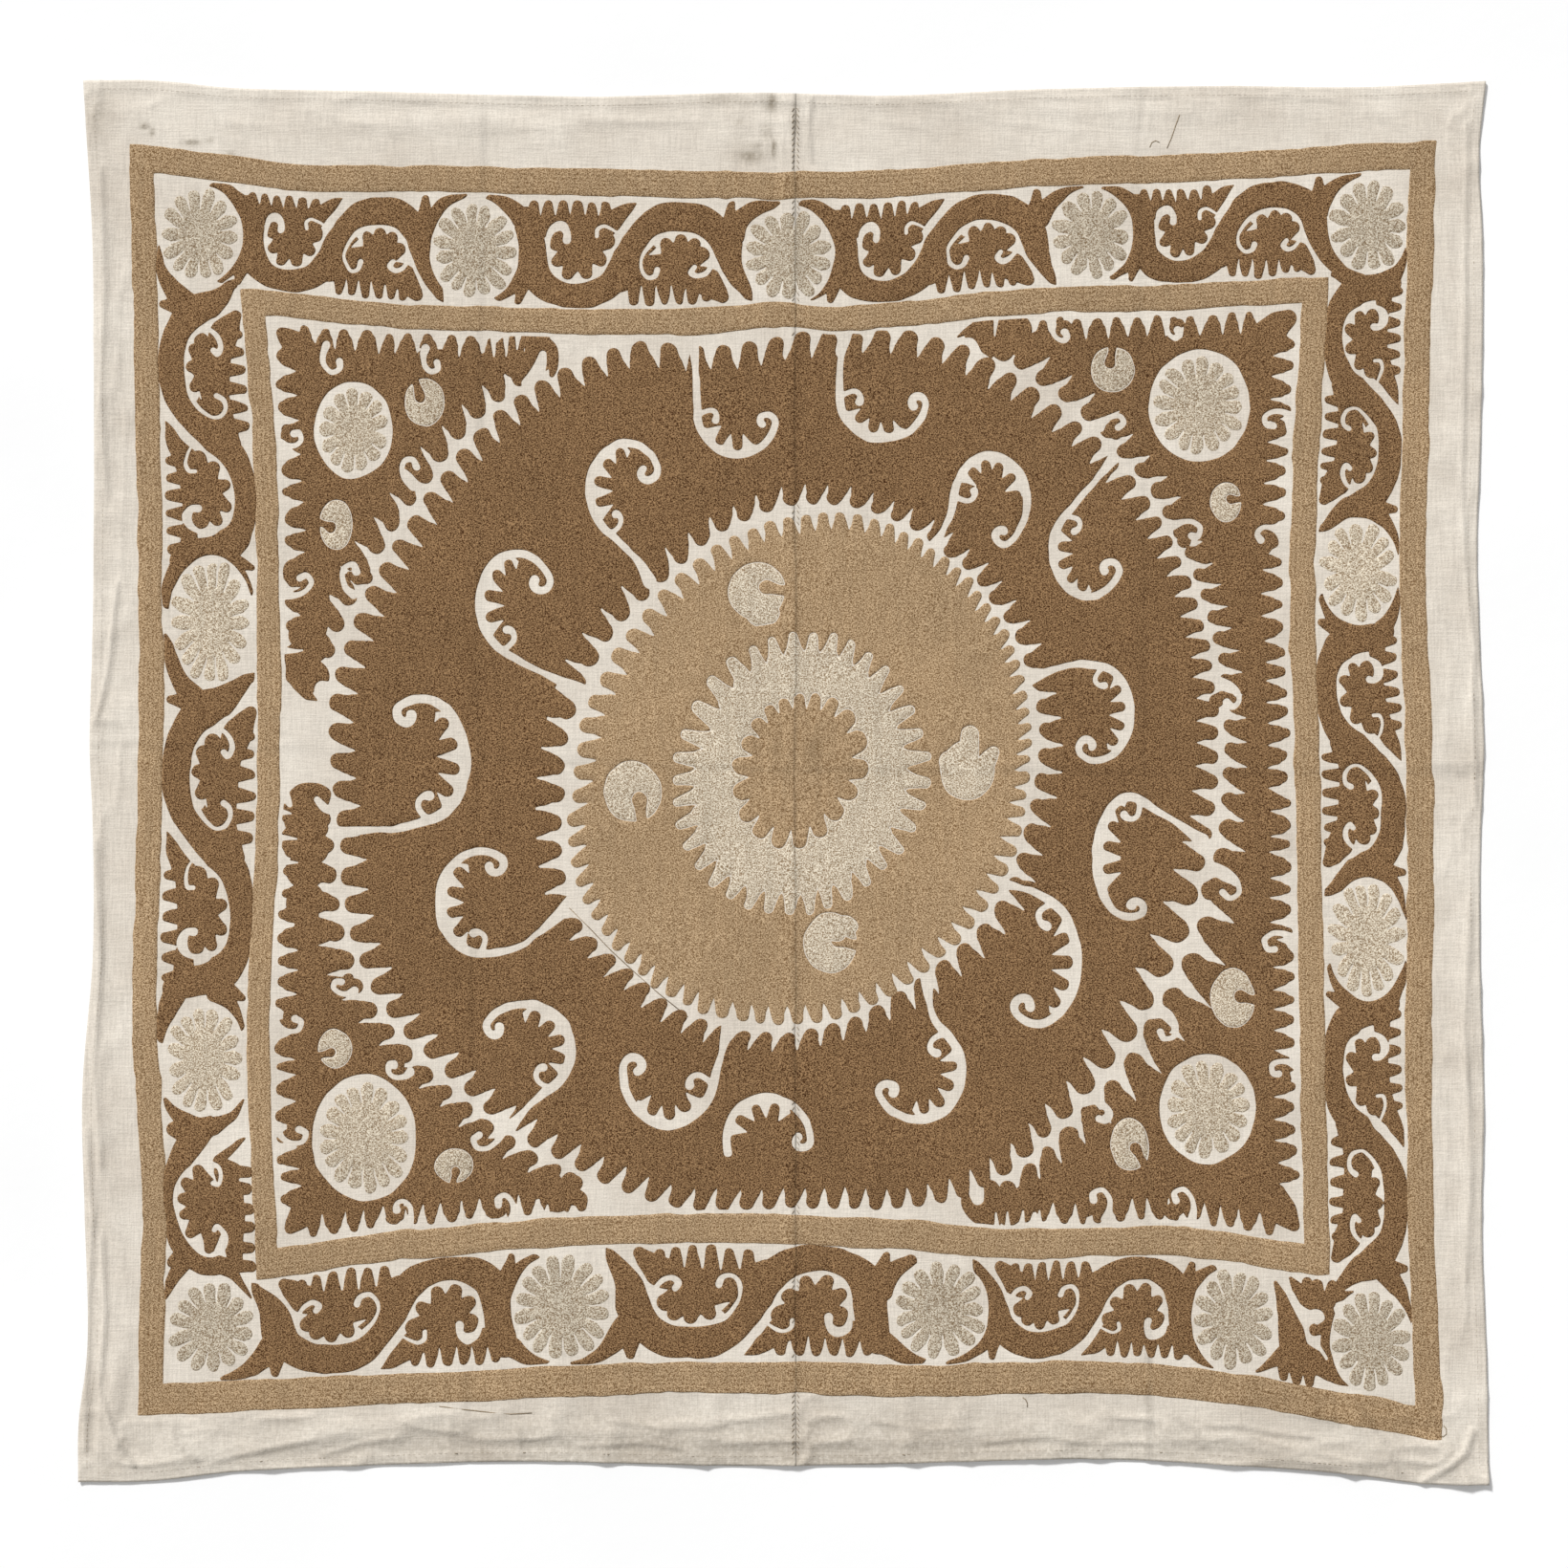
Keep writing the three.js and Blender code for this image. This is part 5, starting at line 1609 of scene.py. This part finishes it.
LOOSE_ENDS = [
    [(414, 698), (410, 687), (406, 675), (401, 663)],
    [(383, 664), (385, 669), (389, 671), (393, 669)],
    [(250, -643), (253, -645), (255, -649), (255, -653)],
    [(690, -672), (693, -676), (693, -681), (689, -684), (686, -681)],
]


def on_top(x, y):
    """Height of the uppermost face: the yarn where there is some, or the linen."""
    return lie(x, y) + GROUND + np.maximum(yarn_rise(highest, x, y), 0)


def dashes(path, length, pitch, slant=0.0):
    """Short straight stitches along a broken line, each turned by the slant in degrees."""
    path = np.asarray(path, float)
    runs = np.diff(path, axis=0)
    lengths = np.hypot(*runs.T)
    far = np.concatenate([[0], np.cumsum(lengths)])
    turn = np.radians(slant)
    spin = np.array([[np.cos(turn), -np.sin(turn)], [np.sin(turn), np.cos(turn)]])
    stitches = []
    for place in np.arange(pitch / 2, far[-1], pitch):
        part = np.searchsorted(far, place) - 1
        ahead = runs[part] / lengths[part]
        middle = path[part] + (place - far[part]) * ahead
        half = spin @ ahead * length / 2
        stitches.append([middle - half, middle + half])
    return stitches


def hem_lines(side, inset):
    """Places along a panel's three hemmed edges, a little way in."""
    outer = EDGE_CURVES["right" if side > 0 else "left"]
    level = np.linspace(SEAM_X + side * HEM_WIDTH, side * HEM_REACH, LEVEL_POINTS)
    upright = np.linspace(HEM_REACH, -HEM_REACH, UPRIGHT_POINTS)
    top = np.column_stack([level, EDGE_CURVES["top"](level) - inset])
    bottom = np.column_stack([level, EDGE_CURVES["bottom"](level) + inset])
    flank = np.column_stack([outer(upright) - side * inset, upright])
    return [top, flank, bottom]


def clear_of_seam(path, side):
    """Whether a thread lies wholly on its own side of the seam."""
    return (side * (np.asarray(path)[:, 0] - SEAM_X)).min() > THREAD_CLEAR


# The two panels: side of the seam, and flat size in metres
HALVES = {"left": -1, "right": 1}
FLAT_SIZES = {"left": (0.756, 1.49), "right": (0.748, 1.49)}
sheets = {half: ground_panel(f"cloth_{half}", side, linen) for half, side in HALVES.items()}
pieces = {half: [] for half in HALVES}
for half, side in HALVES.items():
    for colour, depth in layers.items():
        beside = np.minimum(depth, side * (ACROSS - seam_at(UP)) - YARN_GAP)
        name = f"yarn_{colour}_{half}"
        piece = yarn_shell(name, beside, depth, FULLNESS[colour], across_band, yarns[colour])
        pieces[half].append(piece)
    lines = [(line, *LOOSE_THREAD) for line in DRAWN_LINES + LOOSE_ENDS]
    for edge in hem_lines(side, STITCH_INSET):
        lines += [(stitch, *STITCH_THREAD) for stitch in dashes(edge, *HEM_STITCH)]
    seam_edge = [(SEAM_X + side * SEAM_INSET, end) for end in SEAM_ENDS]
    for stitch in dashes(seam_edge, *SEAM_STITCH, side * SEAM_SLANT):
        if sampled(highest, *np.mean(stitch, axis=0)) < COVERED:
            lines.append((stitch, *STITCH_THREAD))
    own = [line for line in lines if clear_of_seam(line[0], side)]
    piece = thread(f"thread_{half}", own, on_top, sewing)
    pieces[half].append(piece)
for half, flat in FLAT_SIZES.items():
    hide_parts(f"panel_{half}")
    for piece in [sheets[half], *pieces[half]]:
        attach(piece, "root")
    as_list(pieces[half])

# Floor in millimetres, light and camera in degrees and metres
FLOOR_HALF = 40000.0
FLOOR_CORNERS = [(-1, -1), (1, -1), (1, 1), (-1, 1)]
FLOOR_COLOUR = (0.96, 0.96, 0.96, 1.0)
FLOOR_TONES = (0.3, 0.7, 0.97, 1.0)
FLOOR_BUMPS = (3.0, 60.0)
FLOOR_ROUGH = 0.9
FLOOR_RELIEF = 0.0001
SKY_COLOUR = (1.0, 1.0, 1.0, 1.0)
SKY_STRENGTH = 0.45
KEY_ENERGY = 3.3
KEY_SOFTNESS = 9
KEY_TILT = (-44, -36, 0)
FRAME_WIDTH = 1.640
FRAME_MIDDLE = (0.0005, -0.0015)
LENS = 85.0
SENSOR = 36.0

floor_graph = Graph("floor", FLOOR_ROUGH)
floor_shade = floor_graph.spread(floor_graph.noise(FLOOR_BUMPS[0]), *FLOOR_TONES)
floor_colour = floor_graph.toned(FLOOR_COLOUR, floor_shade)
floor_material = floor_graph.finish(floor_colour, floor_graph.noise(FLOOR_BUMPS[1]), FLOOR_RELIEF)
floor_points = [(x * FLOOR_HALF, y * FLOOR_HALF, 0) for x, y in FLOOR_CORNERS]
floor = new_piece("floor", floor_points, [(0, 1, 2, 3)], floor_material, smooth_shading=False)
floor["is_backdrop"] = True

world = bpy.data.worlds.new("studio")
world.use_nodes = True
sky = world.node_tree.nodes["Background"]
sky.inputs["Color"].default_value = SKY_COLOUR
sky.inputs["Strength"].default_value = SKY_STRENGTH
bpy.context.scene.world = world
sun_light = bpy.data.lights.new("soft_key", "SUN")
sun_light.energy = KEY_ENERGY
sun_light.angle = np.radians(KEY_SOFTNESS)
key = bpy.data.objects.new("soft_key", sun_light)
key.rotation_euler = np.radians(KEY_TILT)
bpy.context.scene.collection.objects.link(key)

camera_data = bpy.data.cameras.new("camera")
camera_data.lens = LENS
camera_data.sensor_width = SENSOR
camera = bpy.data.objects.new("camera", camera_data)
camera.location = (*FRAME_MIDDLE, FRAME_WIDTH * LENS / SENSOR)
bpy.context.scene.collection.objects.link(camera)
bpy.context.scene.camera = camera
bpy.context.scene.view_settings.view_transform = "Standard"

boxes = {"cad": cad_box, "visual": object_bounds()}
{name: [list(map(float, corner)) for corner in box] for name, box in boxes.items()}
